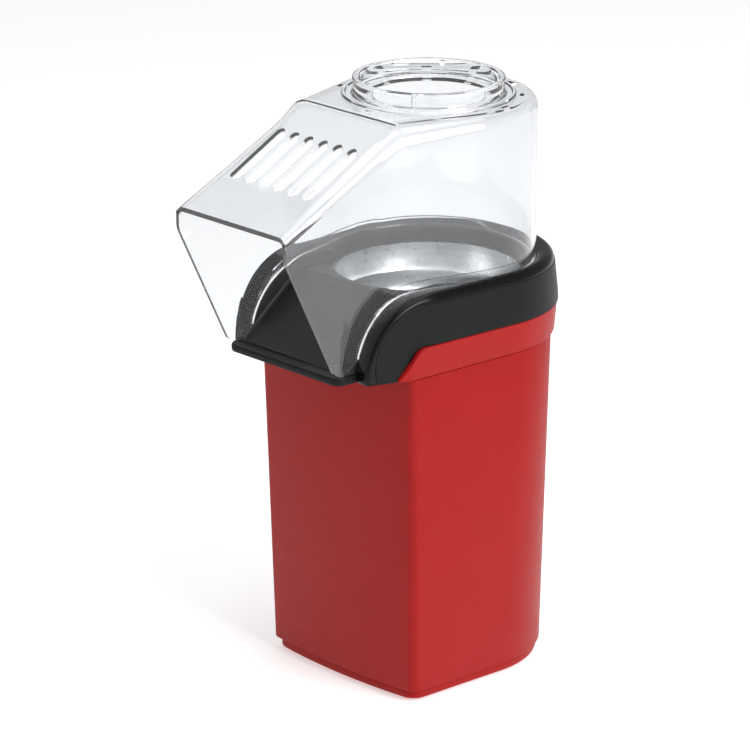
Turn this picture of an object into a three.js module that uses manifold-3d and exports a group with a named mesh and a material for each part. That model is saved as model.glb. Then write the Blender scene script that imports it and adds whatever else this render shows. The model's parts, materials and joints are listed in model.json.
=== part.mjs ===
// Hot-air popcorn maker: a tapered tower holding a blower, a heater and a popping chamber,
// with a clear lift-off cover that turns the popcorn out over a chute.
// Millimetres, +Z up. The chute pours towards -Y. Most pieces are drawn about the blower's
// vertical axis, and the whole unit is then shifted so that it stands centred on the origin.

import * as THREE from "three";
import { mergeVertices } from "three/addons/utils/BufferGeometryUtils.js";
import Module from "manifold-3d";

const wasm = await Module();
wasm.setup();

// ---------------------------------------------------------------- driving dimensions

const GAP = 0.3; // left between pieces that rest on each other
const SLIP = 0.4; // side clearance of pieces that slide or drop into each other
const SHELL = 2.4; // wall of the moulded plastic housings
const SHEET = 1; // wall of the pressed metal pieces
const ARC_STEP = 15; // degrees between points on a rounded outline
const CUT = 20; // cutters reach this far past a wall that they open
const FINE = 40; // sides of large round pieces
const MEDIUM = 20;
const SMALL = 10;

// Tower outline at its top, seen from above
const BODY_FRONT = 63.8; // blower axis to the middle of the front face
const BODY_BOW = 3.7; // how far the front face bows out
const BODY_FRONT_HALF = 54.3; // half the width of the front face
const BODY_HALF = 56; // half the greatest width, and the radius of the round back
const BODY_CORNER = 8;
const BACK_CENTRE = 4.7; // the round back's centre, behind the blower axis
const BODY_FOOT_SCALE = 0.935; // the tower's outline at its foot over that at its top
const BODY_HEIGHT = 158.6;

// Base
const FOOT_PROUD = 1.2;
const FOOT_RADIUS = 6;
const FOOT_SINK = 1;
const FOOT_EDGE = 0.6;
const FOOT_X = 28;
const FOOT_FRONT = 48;
const FOOT_BACK = 34;
const PLINTH_HEIGHT = 4.6;
const PLINTH_INSET = 1.7;
const PLINTH_CORNER = 13;
const PLATE = 2.5;
const SPIGOT_HEIGHT = 6;
const INTAKE_RADIUS = 30;
const INTAKE_SLOT = 3.2;
const INTAKE_PITCH = 6.4;
const SCREW_RADIUS = 1.6;
const SCREW_HEAD_RADIUS = 3;
const SCREW_HEAD = 1.8;
const SCREW_SLOT = 0.8;
const SCREW_CROWN = 0.7; // flat of the head over its full radius
const SCREW_EDGE = 0.6;
const SCREW_POINT = 0.4;
const SCREW_LENGTH = 18;
const BOSS_RADIUS = 4;
const BOSS_HEIGHT = 22;
const SCREW_X = 40;
const SCREW_FRONT = 44;
const SCREW_BACK = 18;

// Red band and black collar
const BAND_PROUD = 1.6;
const BAND_FLARE = 1.2;
const BAND_HEIGHT = 15.2;
const BAND_FRONT = 76;
const BAND_CORNER = 14;
const COLLAR_PROUD = 3.3; // the collar's sides stand this far beyond the tower's ...
const COLLAR_FRONT_PROUD = 1.7; // ... and its front corners this far
const COLLAR_FRONT = 85;
const COLLAR_CORNER = 16;
const COLLAR_RISE = 37.2; // band's foot to the collar's deck
const COLLAR_DRAFT = 0.975; // the collar's outline at its shoulder over that at its foot
const BEAD_SCALE = 0.92; // and at the top of its rounded rim
const BEAD_DEPTH = 7;
const BEAD_RISE = 2; // the rounded rim stands this far above the deck
const ARM_START = 45; // the rim starts to curve down here, in front of the axis
const ARM_CENTRE_RISE = 1.5; // centre of the arms' curve above the band's foot
const SWEEP_TOP = 57; // the collar's lower edge sweeps down from here ...
const SWEEP_FOOT = 68.5; // ... to here, in front of the axis
const CHUTE_REACH = 93.7;
const CHUTE_INNER_HALF = 36;
const CHUTE_LIP = 4;
const CHUTE_LIP_DEPTH = 8;
const CHUTE_DROP = 4; // the chute's top edge below the deck
const CHUTE_FLOOR = 3;
const TONGUE_HALF = 39;
const TONGUE_CORNER = 5;
const OPENING_RADIUS = 46.8;

// Clear cover
const COVER_WALL = 2;
const COVER_RADIUS = 51.7;
const COVER_HALF = 38.3; // half the width of the spout
const COVER_FLARE = 14; // degrees at which the spout widens into the round back
const COVER_FLARE_ROUND = 40;
const COVER_HEIGHT = 79.1;
const FOLD = 50.4; // flat top ends here, in front of the axis
const HOOD_SLOPE = 28.1; // degrees
const MOUTH_FRONT = 124.4;
const MOUTH_BEND = 11; // the mouth's edge is upright for this far, then slants back
const MOUTH_TIP = 94;
const TIP_ROUND = 6.4;
const FOLD_ROUND = 6;
const NECK_RADIUS = 36;
const NECK_WALL = 2.4;
const NECK_HEIGHT = 8.4;
const NECK_LEDGE = 4;
const NECK_RING = 41.5;
const NECK_RING_RISE = 1.2;
const VENT_COUNT = 6;
const VENT_WIDTH = 4.6;
const VENT_PITCH = 9.92;
const VENT_TOP = 69.5;
const VENT_FOOT = 102;
const DECK_VENT_LENGTH = 5;
const DECK_VENT_WIDTH = 2;
const DECK_VENT_RADIUS = 44.2;
const DECK_VENT_ANGLES = [10, 42, 74, 106, 138, 170, 209, 279];

// Popping chamber, heater and blower
const CHAMBER_RADIUS = 45;
const CHAMBER_DEPTH = 75;
const CHAMBER_CURVE = 8; // rounding between its wall and floor
const CHAMBER_SLOTS = 14;
const CHAMBER_SLOT_LENGTH = 9;
const CHAMBER_SLOT = 1.8;
const CHAMBER_SLOT_LEAN = 40; // degrees
const SHROUD_RADIUS = 48.6;
const SHROUD_OVERLAP = 28.4; // the shroud reaches this far above the chamber's foot
const SUPPORT_RING = 6;
const SUPPORT_ARM = 5;
const MICA = 0.8;
const MICA_HALF = 28;
const MICA_HEIGHT = 26;
const COIL_WIRE = 0.8;
const COIL_TURNS = 5;
const BLOWER_RADIUS = 45.5;
const BLOWER_HEIGHT = 28;
const BLOWER_FOOT = 50;
const LEGS = 3;
const LEG_RADIUS = 40;
const INLET_RADIUS = 26;
const FAN_RADIUS = 38;
const FAN_INNER = 23;
const FAN_HEIGHT = 15;
const FAN_BLADES = 20;
const FAN_BLADE = 1.2;
const FAN_HUB = 5;
const FAN_LIFT = 2.5;
const FAN_PLATE = 1.5;
const FAN_LEAN = 25; // degrees the blades lean back
const MOUNT_PLATE = 2.4;
const MOUNT_ARM = 8;
const MOUNT_HUB = 18;
const MOUNT_REACH = 35;
const MOUNT_SCREW_LENGTH = 6;
const MOUNT_ANGLES = [30, 150, 270];
const MOTOR_RADIUS = 14;
const MOTOR_LENGTH = 32;
const MOTOR_CAP = 4;
const MOTOR_NOSE = 3.4;
const MOTOR_WALL = 1.2;
const MOTOR_POLES = 3;
const MOTOR_MAGNET = 3; // between the armature and the outside of the can
const ARMATURE_END = 4; // the armature stops this far inside the can
const DIODE_LEAD = 0.4;
const DIODE_LEAD_LENGTH = 2;
const SHAFT_RADIUS = 1.2;
const BOARD_RADIUS = 17;
const BOARD = 1.6;
const DIODE_LENGTH = 5;
const DIODE_RADIUS = 1.3;
const DIODES = 4;
const THERMOSTAT_DROP = 16.3; // its middle below the shroud's top
const THERMOSTAT_RADIUS = 7;
const THERMOSTAT_CAP_RADIUS = 5.5;
const THERMOSTAT_FLANGE = 3;
const THERMOSTAT_CHAMFER = 0.2;
const THERMOSTAT_DEPTH = 5;
const BLADE_WIDTH = 2.5; // push-on contacts
const BLADE = 0.8;
const BLADE_LENGTH = 6;
const FUSE_RADIUS = 2;
const FUSE_HALF = 4.4;
const FUSE_LEAD = 0.5;
const FUSE_LEAD_END = 6;

// Switch and cord inlet on the back
const SWITCH_RISE = 34;
const BEZEL_WIDTH = 15;
const BEZEL_HEIGHT = 21;
const BEZEL = 1.8;
const SWITCH_WIDTH = 12.6;
const SWITCH_HEIGHT = 18.6;
const SWITCH_DEPTH = 14;
const ROCKER_WIDTH = 8.6;
const ROCKER_HALF = 6.8;
const ROCKER_PROUD = 3.4;
const ROCKER_DEPTH = 3;
const ROCKER_TILT = 10; // degrees either way from level; it rests at OFF
const ROCKER_SWEEP = 7.8; // the turning rocker's corners reach this far from its pivot
const ROCKER_WELL = 8;
const PAD_MARGIN = 3;
const PAD_PROUD = 0.8;
const GLAND_TURN = 38; // degrees round the back from its middle
const GLAND_RISE = 22;
const GLAND_RADIUS = 5;
const GLAND_BORE = 3.4;
const GLAND_FLANGE = 7.5;
const GLAND_TAIL = 5;
const GLAND_NOSE = 6;
const GLAND_TAPER = 0.6;
const TERMINAL_WELL_RADIUS = 1.8;
const TERMINAL_WELL = 4;
const TERMINAL_WIDTH = 18;
const TERMINAL_DEPTH = 9;
const TERMINAL_HEIGHT = 9;
const TERMINAL_Y = 27;
const WIRE = 1;
const WIRE_START = 3.2; // the inlet wire starts this far inside the gland ...
const WIRE_BEND = 10.7; // ... and is straight up to here
const WIRE_RISE = 6; // wires stand up this far from the terminals

// ---------------------------------------------------------------- levels and places

const PLINTH_FOOT = FOOT_PROUD;
const PLINTH_TOP = PLINTH_FOOT + PLINTH_HEIGHT;
const BODY_FOOT = PLINTH_TOP + GAP;
const BODY_TOP = BODY_FOOT + BODY_HEIGHT;
const BAND_FOOT = BODY_TOP + GAP;
const BAND_TOP = BAND_FOOT + BAND_HEIGHT;
const DECK_TOP = BAND_FOOT + COLLAR_RISE;
const BEAD_TOP = DECK_TOP + BEAD_RISE;
const COVER_FOOT = DECK_TOP + GAP;
const COVER_TOP = COVER_FOOT + COVER_HEIGHT;
const NECK_TOP = COVER_TOP + NECK_HEIGHT;
const CHAMBER_TOP = DECK_TOP - CHUTE_DROP - CHUTE_FLOOR - GAP;
const CHAMBER_FLANGE = OPENING_RADIUS + SHELL - SLIP;
const CHAMBER_FOOT = CHAMBER_TOP - CHAMBER_DEPTH;
const BLOWER_TOP = BLOWER_FOOT + BLOWER_HEIGHT;
const SHROUD_FOOT = BLOWER_TOP + GAP;
const SHROUD_HEIGHT = CHAMBER_FOOT + SHROUD_OVERLAP - SHROUD_FOOT;
const SHROUD_TOP = SHROUD_FOOT + SHROUD_HEIGHT;
const THERMOSTAT_RISE = SHROUD_TOP - THERMOSTAT_DROP;
const SUPPORT_FOOT = SHROUD_FOOT + SHEET + GAP;
const MICA_FOOT = SUPPORT_FOOT + SHEET + GAP;
const MOUNT_FOOT = BLOWER_FOOT - GAP - MOUNT_PLATE;
const MOTOR_TOP = MOUNT_FOOT - GAP;
const MOTOR_FOOT = MOTOR_TOP - MOTOR_LENGTH;
const FAN_FOOT = BLOWER_FOOT + SHELL + FAN_LIFT;
const FAN_TOP = FAN_FOOT + FAN_HEIGHT;
const SCREW_SEAT = PLINTH_FOOT + SCREW_HEAD + GAP;
const TERMINAL_FOOT = PLINTH_FOOT + PLATE + GAP;
const BOARD_FOOT = MOTOR_FOOT - MOTOR_CAP - 2 * GAP - BOARD;
const COLLAR_HALF = BODY_HALF + COLLAR_PROUD;
const COLLAR_FRONT_HALF = BODY_FRONT_HALF + COLLAR_FRONT_PROUD;
const GLAND_SEAT = SHELL + 4 * GAP; // the gland's inner shoulder, inside the wall's outside
const GLAND_END = GLAND_SEAT + GLAND_TAIL;
const MODEL_CENTRE = (BACK_CENTRE + COLLAR_HALF - MOUTH_FRONT) / 2;

const TOWER = {
  front: BODY_FRONT, bow: BODY_BOW, frontHalf: BODY_FRONT_HALF, half: BODY_HALF, corner: BODY_CORNER,
};
const PLINTH = { ...inset(TOWER, PLINTH_INSET), corner: PLINTH_CORNER };
const BAND = {
  front: BAND_FRONT, bow: BODY_BOW, frontHalf: BODY_FRONT_HALF + BAND_PROUD / 2, half: BODY_HALF + BAND_PROUD,
  corner: BAND_CORNER,
};
const COLLAR = {
  front: COLLAR_FRONT, bow: 0, frontHalf: COLLAR_FRONT_HALF, half: COLLAR_HALF, corner: COLLAR_CORNER,
};

// ---------------------------------------------------------------- shape helpers

function degrees(angle) {
  return (angle * Math.PI) / 180;
}

function onCircle(radius, angle) {
  return [radius * Math.cos(degrees(angle)), radius * Math.sin(degrees(angle))];
}

// Points of an outline whose corners are [x, y, radius], each corner rounded to its radius.
function rounded(corners) {
  const points = corners.map(([x, y]) => new THREE.Vector2(x, y));
  return corners.flatMap(([, , radius], i) => {
    const corner = points[i];
    if (!radius) return [corner];
    const toLast = points.at(i - 1).clone().sub(corner);
    const toNext = points[(i + 1) % points.length].clone().sub(corner);
    const half = toLast.angleTo(toNext) / 2;
    const room = 0.49 * Math.min(toLast.length(), toNext.length());
    const reach = Math.min(radius / Math.tan(half), room);
    const from = toLast.normalize();
    const to = toNext.normalize();
    const middle = from.clone().add(to).normalize();
    const centre = corner.clone().addScaledVector(middle, reach / Math.cos(half));
    const start = corner.clone().addScaledVector(from, reach).sub(centre);
    const end = corner.clone().addScaledVector(to, reach).sub(centre);
    const turn = Math.atan2(start.cross(end), start.dot(end));
    const steps = Math.max(2, Math.round(Math.abs(turn) / degrees(ARC_STEP)));
    const origin = new THREE.Vector2();
    return Array.from({ length: steps + 1 }, (_, k) =>
      start.clone().rotateAround(origin, (turn * k) / steps).add(centre));
  });
}

function arc(radius, from, to, centre = [0, 0]) {
  const steps = Math.max(2, Math.round(Math.abs(to - from) / ARC_STEP));
  return Array.from({ length: steps + 1 }, (_, k) => {
    const [x, y] = onCircle(radius, from + ((to - from) * k) / steps);
    return [centre[0] + x, centre[1] + y];
  });
}

function mirrored(half) {
  const offAxis = half.filter(([x]) => x > 0.001);
  return [...half, ...offAxis.toReversed().map(([x, y, radius]) => [-x, y, radius])];
}

// Closed solid of a triangle mesh, for joining and cutting.
function solid(geometry) {
  const bare = geometry.index ? geometry.clone() : geometry;
  bare.deleteAttribute("normal");
  bare.deleteAttribute("uv");
  const merged = mergeVertices(bare);
  const mesh = new wasm.Mesh({
    numProp: 3,
    vertProperties: new Float32Array(merged.attributes.position.array),
    triVerts: new Uint32Array(merged.index.array),
  });
  return new wasm.Manifold(mesh);
}

function extruded(points, depth, steps = 1) {
  const shape = new THREE.Shape(points.map((p) => (p.isVector2 ? p : new THREE.Vector2(...p))));
  return new THREE.ExtrudeGeometry(shape, { depth, steps, bevelEnabled: false });
}

// Body over an outline seen from above, scaled about the blower axis at each [height, scale].
function stacked(points, levels) {
  const last = levels.length - 1;
  const geometry = extruded(points, last, last);
  const position = geometry.attributes.position;
  for (let i = 0; i < position.count; i += 1) {
    const [z, scale] = levels[Math.round(position.getZ(i))];
    position.setXYZ(i, position.getX(i) * scale, position.getY(i) * scale, z);
  }
  return solid(geometry);
}

function prism(points, foot, top) {
  return stacked(points, [[foot, 1], [top, 1]]);
}

// Slab over an outline of [y, z] points seen from the side, between two x values.
function slab(points, left, right) {
  const sideways = new THREE.Matrix4().makeBasis(
    new THREE.Vector3(0, 1, 0), new THREE.Vector3(0, 0, 1), new THREE.Vector3(1, 0, 0));
  return solid(extruded(points, right - left).applyMatrix4(sideways).translate(left, 0, 0));
}

// Body turned about the blower axis from a closed profile of [radius, z] points.
function turned(profile, segments = FINE) {
  const points = [...profile, profile[0]].map(([r, z]) => new THREE.Vector2(r, z));
  return solid(new THREE.LatheGeometry(points, segments).rotateX(Math.PI / 2));
}

function rod(radius, foot, top, segments = FINE) {
  return turned([[0, foot], [radius, foot], [radius, top], [0, top]], segments);
}

function pipe(outer, inner, foot, top, segments = FINE) {
  return turned([[inner, foot], [outer, foot], [outer, top], [inner, top]], segments);
}

function block(width, depth, height, foot = 0) {
  return solid(new THREE.BoxGeometry(width, depth, height).translate(0, 0, foot + height / 2));
}

// Wire or tube along a smooth curve through points.
function strand(points, radius, steps, sides = 6) {
  const section = new THREE.Shape(Array.from({ length: sides }, (_, k) =>
    new THREE.Vector2(...onCircle(radius, (360 * k) / sides))));
  const path = new THREE.CatmullRomCurve3(points.map((p) => new THREE.Vector3(...p)));
  return solid(new THREE.ExtrudeGeometry(section, { steps, extrudePath: path, bevelEnabled: false }));
}

function geometryOf(body) {
  const mesh = body.getMesh();
  const geometry = new THREE.BufferGeometry();
  geometry.setAttribute("position", new THREE.BufferAttribute(mesh.vertProperties, 3));
  geometry.setIndex(new THREE.BufferAttribute(mesh.triVerts, 1));
  geometry.computeVertexNormals();
  return geometry;
}

// Outline of the tower family: a bowed front, rounded corners, flat sides and a round back.
function towerOutline({ front, bow, frontHalf, half, corner }) {
  const bowed = [0.35, 0.7].map((x) => [x * frontHalf, -front + bow * x * x]);
  return rounded(mirrored([...bowed, [frontHalf, -front + bow, corner],
    ...arc(half, 0, 90, [0, BACK_CENTRE])]));
}

function inset(outline, by) {
  const { front, bow, frontHalf, half, corner } = outline;
  return {
    front: front - by, bow, frontHalf: frontHalf - by, half: half - by, corner: Math.max(corner - by, 1),
  };
}

// The tower's outline at a height, over that at its top.
function towerScale(z) {
  return THREE.MathUtils.lerp(BODY_FOOT_SCALE, 1, (z - BODY_FOOT) / BODY_HEIGHT);
}

// Rearmost y of the tower's wall at a height.
function backOf(z) {
  return (BACK_CENTRE + BODY_HALF) * towerScale(z);
}

const screwPlaces = [[1, -SCREW_FRONT], [-1, -SCREW_FRONT], [1, SCREW_BACK], [-1, SCREW_BACK]]
  .map(([side, y]) => [side * SCREW_X, y]);
const footPlaces = [[1, -FOOT_FRONT], [-1, -FOOT_FRONT], [1, FOOT_BACK], [-1, FOOT_BACK]]
  .map(([side, y]) => [side * FOOT_X, y]);

const mountScrews = MOUNT_ANGLES.map((angle) => onCircle((MOUNT_REACH + INLET_RADIUS) / 2, angle));

// ---------------------------------------------------------------- base and tower

const SPIGOT_TOP = PLINTH_TOP + SPIGOT_HEIGHT;
const BOSS_FOOT = SPIGOT_TOP + GAP;
const PAD_FOOT = SWITCH_RISE - BEZEL_HEIGHT / 2 - PAD_MARGIN;
const PAD_TOP = SWITCH_RISE + BEZEL_HEIGHT / 2 + PAD_MARGIN;
const SWITCH_SEAT = backOf(PAD_TOP) + PAD_PROUD;

function atFoot(outline, foot, top) {
  return stacked(towerOutline(outline), [[foot, BODY_FOOT_SCALE], [top, BODY_FOOT_SCALE]]);
}

function basePlate() {
  let plate = atFoot(PLINTH, PLINTH_FOOT, PLINTH_TOP)
    .add(atFoot(inset(TOWER, SHELL + SLIP), PLINTH_TOP - PLATE, SPIGOT_TOP))
    .subtract(atFoot(inset(TOWER, 2 * SHELL + SLIP), PLINTH_FOOT + PLATE, BODY_TOP));
  const rows = Math.floor(INTAKE_RADIUS / INTAKE_PITCH);
  for (let row = -rows; row <= rows; row += 1) {
    const x = row * INTAKE_PITCH;
    const length = 2 * Math.sqrt(INTAKE_RADIUS ** 2 - x ** 2);
    plate = plate.subtract(block(INTAKE_SLOT, length, 3 * PLATE).translate(x, 0, 0));
  }
  for (const [x, y] of footPlaces) {
    const recess = rod(FOOT_RADIUS + GAP, 0, PLINTH_FOOT + FOOT_SINK + GAP, MEDIUM);
    plate = plate.subtract(recess.translate(x, y, 0));
  }
  for (const [x, y] of screwPlaces) {
    plate = plate.add(rod(BOSS_RADIUS, PLINTH_FOOT, SPIGOT_TOP, SMALL).translate(x, y, 0))
      .subtract(rod(SCREW_HEAD_RADIUS + GAP, 0, SCREW_SEAT + GAP, SMALL).translate(x, y, 0))
      .subtract(rod(SCREW_RADIUS + GAP, 0, BODY_TOP, SMALL).translate(x, y, 0));
  }
  return plate;
}

// Pan-head screw, its head's underside at z = 0 and its shank rising from there.
function screw(length) {
  const slot = block(SCREW_SLOT, 3 * SCREW_HEAD_RADIUS, 2 * SCREW_SLOT, -SCREW_HEAD - SCREW_SLOT);
  return turned([[0, -SCREW_HEAD], [SCREW_CROWN * SCREW_HEAD_RADIUS, -SCREW_HEAD],
    [SCREW_HEAD_RADIUS, -SCREW_EDGE], [SCREW_HEAD_RADIUS, 0], [SCREW_RADIUS, 0], [SCREW_RADIUS, length - 1],
    [SCREW_POINT, length], [0, length]], SMALL)
    .subtract(slot);
}

function rubberFoot() {
  const top = FOOT_PROUD + FOOT_SINK;
  return turned([[0, 0], [FOOT_RADIUS - FOOT_EDGE, 0], [FOOT_RADIUS, FOOT_EDGE], [FOOT_RADIUS, top],
    [0, top]], MEDIUM);
}

function towerSolid(by, foot = BODY_FOOT, top = BODY_TOP) {
  return stacked(towerOutline(inset(TOWER, by)), [[foot, towerScale(foot)], [top, towerScale(top)]]);
}

function bodyShell() {
  const outer = towerSolid(0);
  let shell = outer.subtract(towerSolid(SHELL, BODY_FOOT - 1, BODY_TOP + 1));
  for (const [x, y] of screwPlaces) {
    const boss = rod(BOSS_RADIUS, BOSS_FOOT, BOSS_FOOT + BOSS_HEIGHT, SMALL);
    const reach = BODY_HALF - SCREW_X;
    const rib = block(reach, SHELL, BOSS_HEIGHT, BOSS_FOOT).translate((reach / 2) * Math.sign(x), 0, 0);
    shell = shell.add(boss.add(rib).translate(x, y, 0).intersect(outer))
      .subtract(rod(SCREW_RADIUS + GAP, BOSS_FOOT - 1, BOSS_FOOT + SCREW_LENGTH, SMALL).translate(x, y, 0));
  }
  const padFront = backOf(PAD_FOOT) - SHELL - 1;
  const pad = block(BEZEL_WIDTH + 2 * PAD_MARGIN, SWITCH_SEAT - padFront, PAD_TOP - PAD_FOOT, PAD_FOOT)
    .translate(0, (SWITCH_SEAT + padFront) / 2, 0);
  const cutoutHeight = SWITCH_HEIGHT + 2 * GAP;
  const cutout = block(SWITCH_WIDTH + 2 * GAP, 2 * CUT, cutoutHeight, SWITCH_RISE - cutoutHeight / 2);
  return shell.add(pad)
    .subtract(cutout.translate(0, SWITCH_SEAT, 0))
    .subtract(atGland(rod(GLAND_RADIUS + GAP, -CUT, CUT, MEDIUM)));
}

// Turns a body on the z axis to point out through the round back, with z = 0 at the wall's outside.
function atGland(body) {
  const height = GLAND_RISE + GLAND_FLANGE;
  return body.rotate([-90, 0, 0])
    .translate(0, BODY_HALF * towerScale(height) + GAP, GLAND_RISE)
    .rotate([0, 0, GLAND_TURN])
    .translate(0, BACK_CENTRE * towerScale(height), 0);
}

// Point on the gland's axis at a depth inside the wall's outside.
function onGlandAxis(depth) {
  const scale = towerScale(GLAND_RISE + GLAND_FLANGE);
  const [x, y] = onCircle(BODY_HALF * scale + GAP - depth, 90 + GLAND_TURN);
  return [x, BACK_CENTRE * scale + y, GLAND_RISE];
}

function cordGland() {
  const flange = SHELL;
  return atGland(turned([[GLAND_BORE, -GLAND_END], [GLAND_RADIUS - GLAND_TAPER, -GLAND_END],
    [GLAND_RADIUS, -GLAND_SEAT], [GLAND_RADIUS, 0], [GLAND_FLANGE, 0], [GLAND_FLANGE, flange - 1],
    [GLAND_FLANGE - 0.8, flange - 0.2], [GLAND_RADIUS, flange], [GLAND_RADIUS - GLAND_TAPER, GLAND_NOSE],
    [GLAND_BORE, GLAND_NOSE]], MEDIUM));
}

function upperBand() {
  const outline = towerOutline(BAND);
  const flared = [[BAND_FOOT, 1], [BAND_TOP, 1 + BAND_FLARE / BAND.half]];
  const hollow = towerOutline(inset(BAND, SHELL));
  const spigot = inset(TOWER, SHELL + 2 * SLIP);
  const inFront = slab([[-MOUTH_FRONT, BAND_FOOT - 1], [sweepAt(BAND_FOOT - 1), BAND_FOOT - 1],
    [sweepAt(BAND_TOP + 1), BAND_TOP + 1], [-MOUTH_FRONT, BAND_TOP + 1]], -BAND_FRONT, BAND_FRONT);
  return stacked(outline, flared)
    .subtract(stacked(hollow, [[BAND_FOOT + SHELL, 1], [BAND_TOP + 1, 1 + BAND_FLARE / BAND.half]]))
    .subtract(inFront)
    .add(prism(towerOutline(spigot), BODY_TOP - SPIGOT_HEIGHT, BAND_FOOT + SPIGOT_HEIGHT))
    .subtract(prism(towerOutline(inset(spigot, SHELL)), 0, BAND_TOP + 1));
}

// The y at which the collar's lower edge, sweeping down in front, crosses a height.
function sweepAt(z) {
  return -SWEEP_FOOT + ((z - BAND_FOOT) * (SWEEP_FOOT - SWEEP_TOP)) / BAND_HEIGHT;
}

// ---------------------------------------------------------------- collar with deck and chute

// Side outline of everything under the collar's rim, lowered by a drop: level over the tower,
// then curving down over the arms to a low level in front.
function underRim(drop, low) {
  const centre = BAND_FOOT + ARM_CENTRE_RISE;
  const radius = BEAD_TOP - drop - centre;
  const curve = arc(radius, 90, 180, [-ARM_START, centre]);
  return [[MOUTH_FRONT, BEAD_TOP - drop], ...curve, [-ARM_START - radius, low], [MOUTH_FRONT, low]];
}

function collarForm(drop, by, low) {
  const foot = BAND_TOP + GAP;
  const shoulder = BEAD_TOP - BEAD_DEPTH;
  const form = stacked(towerOutline(inset(COLLAR, by)),
    [[low, 1], [foot, 1], [shoulder, COLLAR_DRAFT], [BEAD_TOP, BEAD_SCALE]]);
  return form.intersect(slab(underRim(drop, low), -COLLAR_HALF, COLLAR_HALF));
}

// Side outline of everything above the chute's floor, lowered by a drop.
function aboveChute(drop) {
  const lip = BAND_FOOT + CHUTE_LIP - drop;
  const top = DECK_TOP - CHUTE_DROP - drop;
  return [[-MOUTH_FRONT, lip], [-CHUTE_REACH + CHUTE_LIP_DEPTH, lip], [-OPENING_RADIUS - SHELL, top],
    [-ARM_START / 2, top], [-ARM_START / 2, COVER_TOP], [-MOUTH_FRONT, COVER_TOP]];
}

function collar() {
  const low = BAND_FOOT;
  const coverPlace = prism(coverOutline(SLIP), low, COVER_TOP);
  const rim = collarForm(0, 0, low).subtract(coverPlace);
  const chute = slab(aboveChute(0), -CHUTE_INNER_HALF, CHUTE_INNER_HALF);
  const chuteWalls = slab(aboveChute(CHUTE_FLOOR), -CHUTE_INNER_HALF - SHELL, CHUTE_INNER_HALF + SHELL);
  const hollow = collarForm(BEAD_RISE + SHELL, SHELL, low - 1).subtract(chuteWalls);
  const tongueBack = -COLLAR_FRONT + SHELL;
  const tongueOutline = rounded([[TONGUE_HALF, tongueBack], [-TONGUE_HALF, tongueBack],
    [-TONGUE_HALF, -CHUTE_REACH, TONGUE_CORNER], [TONGUE_HALF, -CHUTE_REACH, TONGUE_CORNER]]);
  const tongue = prism(tongueOutline, low, low + CHUTE_LIP);
  const skirt = rod(OPENING_RADIUS + SHELL, CHAMBER_TOP + GAP, DECK_TOP, FINE);
  const edge = BAND_TOP + GAP;
  const behind = slab([[MOUTH_FRONT, low - 1], [sweepAt(low - 1) - 2 * GAP, low - 1],
    [sweepAt(edge) - 2 * GAP, edge], [MOUTH_FRONT, edge]], -COLLAR_HALF - 1, COLLAR_HALF + 1);
  return collarForm(BEAD_RISE, 0, low).add(rim).subtract(hollow).add(tongue).add(skirt)
    .subtract(chute)
    .subtract(rod(OPENING_RADIUS, low, COVER_TOP, FINE))
    .subtract(behind);
}

// ---------------------------------------------------------------- clear cover

// Keyhole seen from above: a round back that narrows to a straight spout.
function coverOutline(by) {
  const half = COVER_HALF + by;
  const radius = COVER_RADIUS + by;
  const [x, y] = onCircle(radius, -COVER_FLARE);
  const spoutEnd = y - (x - half) / Math.tan(degrees(COVER_FLARE));
  return rounded(mirrored([[half, -MOUTH_FRONT - COVER_WALL], [half, spoutEnd, COVER_FLARE_ROUND],
    ...arc(radius, -COVER_FLARE, 90)]));
}

const HOOD_TAN = Math.tan(degrees(HOOD_SLOPE));

// Height of the hood's outside at a distance in front of the axis.
function hoodTop(reach) {
  return COVER_TOP - (reach - FOLD) * HOOD_TAN;
}

function coverSide() {
  const centre = BAND_FOOT + ARM_CENTRE_RISE;
  const radius = COVER_FOOT - centre;
  const tip = BAND_FOOT + CHUTE_LIP + 2 * GAP;
  const armCurve = arc(radius, 90, 170, [-ARM_START, centre]);
  return rounded([[COVER_RADIUS + 1, COVER_FOOT], [COVER_RADIUS + 1, COVER_TOP],
    [-FOLD, COVER_TOP, FOLD_ROUND],
    [-MOUTH_FRONT, hoodTop(MOUTH_FRONT), 1.5], [-MOUTH_FRONT, hoodTop(MOUTH_FRONT) - MOUTH_BEND, 40],
    [-MOUTH_TIP, tip, TIP_ROUND], [-ARM_START - radius, tip, TIP_ROUND], ...armCurve.toReversed()]);
}

function coverHollow() {
  const foldShift = COVER_WALL * Math.tan(degrees(HOOD_SLOPE / 2));
  const top = COVER_TOP - COVER_WALL;
  const far = MOUTH_FRONT + FOLD;
  return [[COVER_RADIUS + 1, BAND_FOOT], [COVER_RADIUS + 1, top],
    [-FOLD + foldShift, top, FOLD_ROUND - COVER_WALL],
    [-FOLD + foldShift - far, top - far * HOOD_TAN], [-FOLD + foldShift - far, BAND_FOOT]];
}

function neck() {
  const inner = NECK_RADIUS - NECK_WALL;
  const ledge = inner - NECK_LEDGE;
  const under = COVER_TOP - COVER_WALL;
  return turned([[ledge, under], [NECK_RING, under], [NECK_RING, COVER_TOP + NECK_RING_RISE],
    [NECK_RADIUS, COVER_TOP + NECK_RING_RISE], [NECK_RADIUS, NECK_TOP], [inner, NECK_TOP],
    [inner, COVER_TOP], [ledge, COVER_TOP]], FINE);
}

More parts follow.
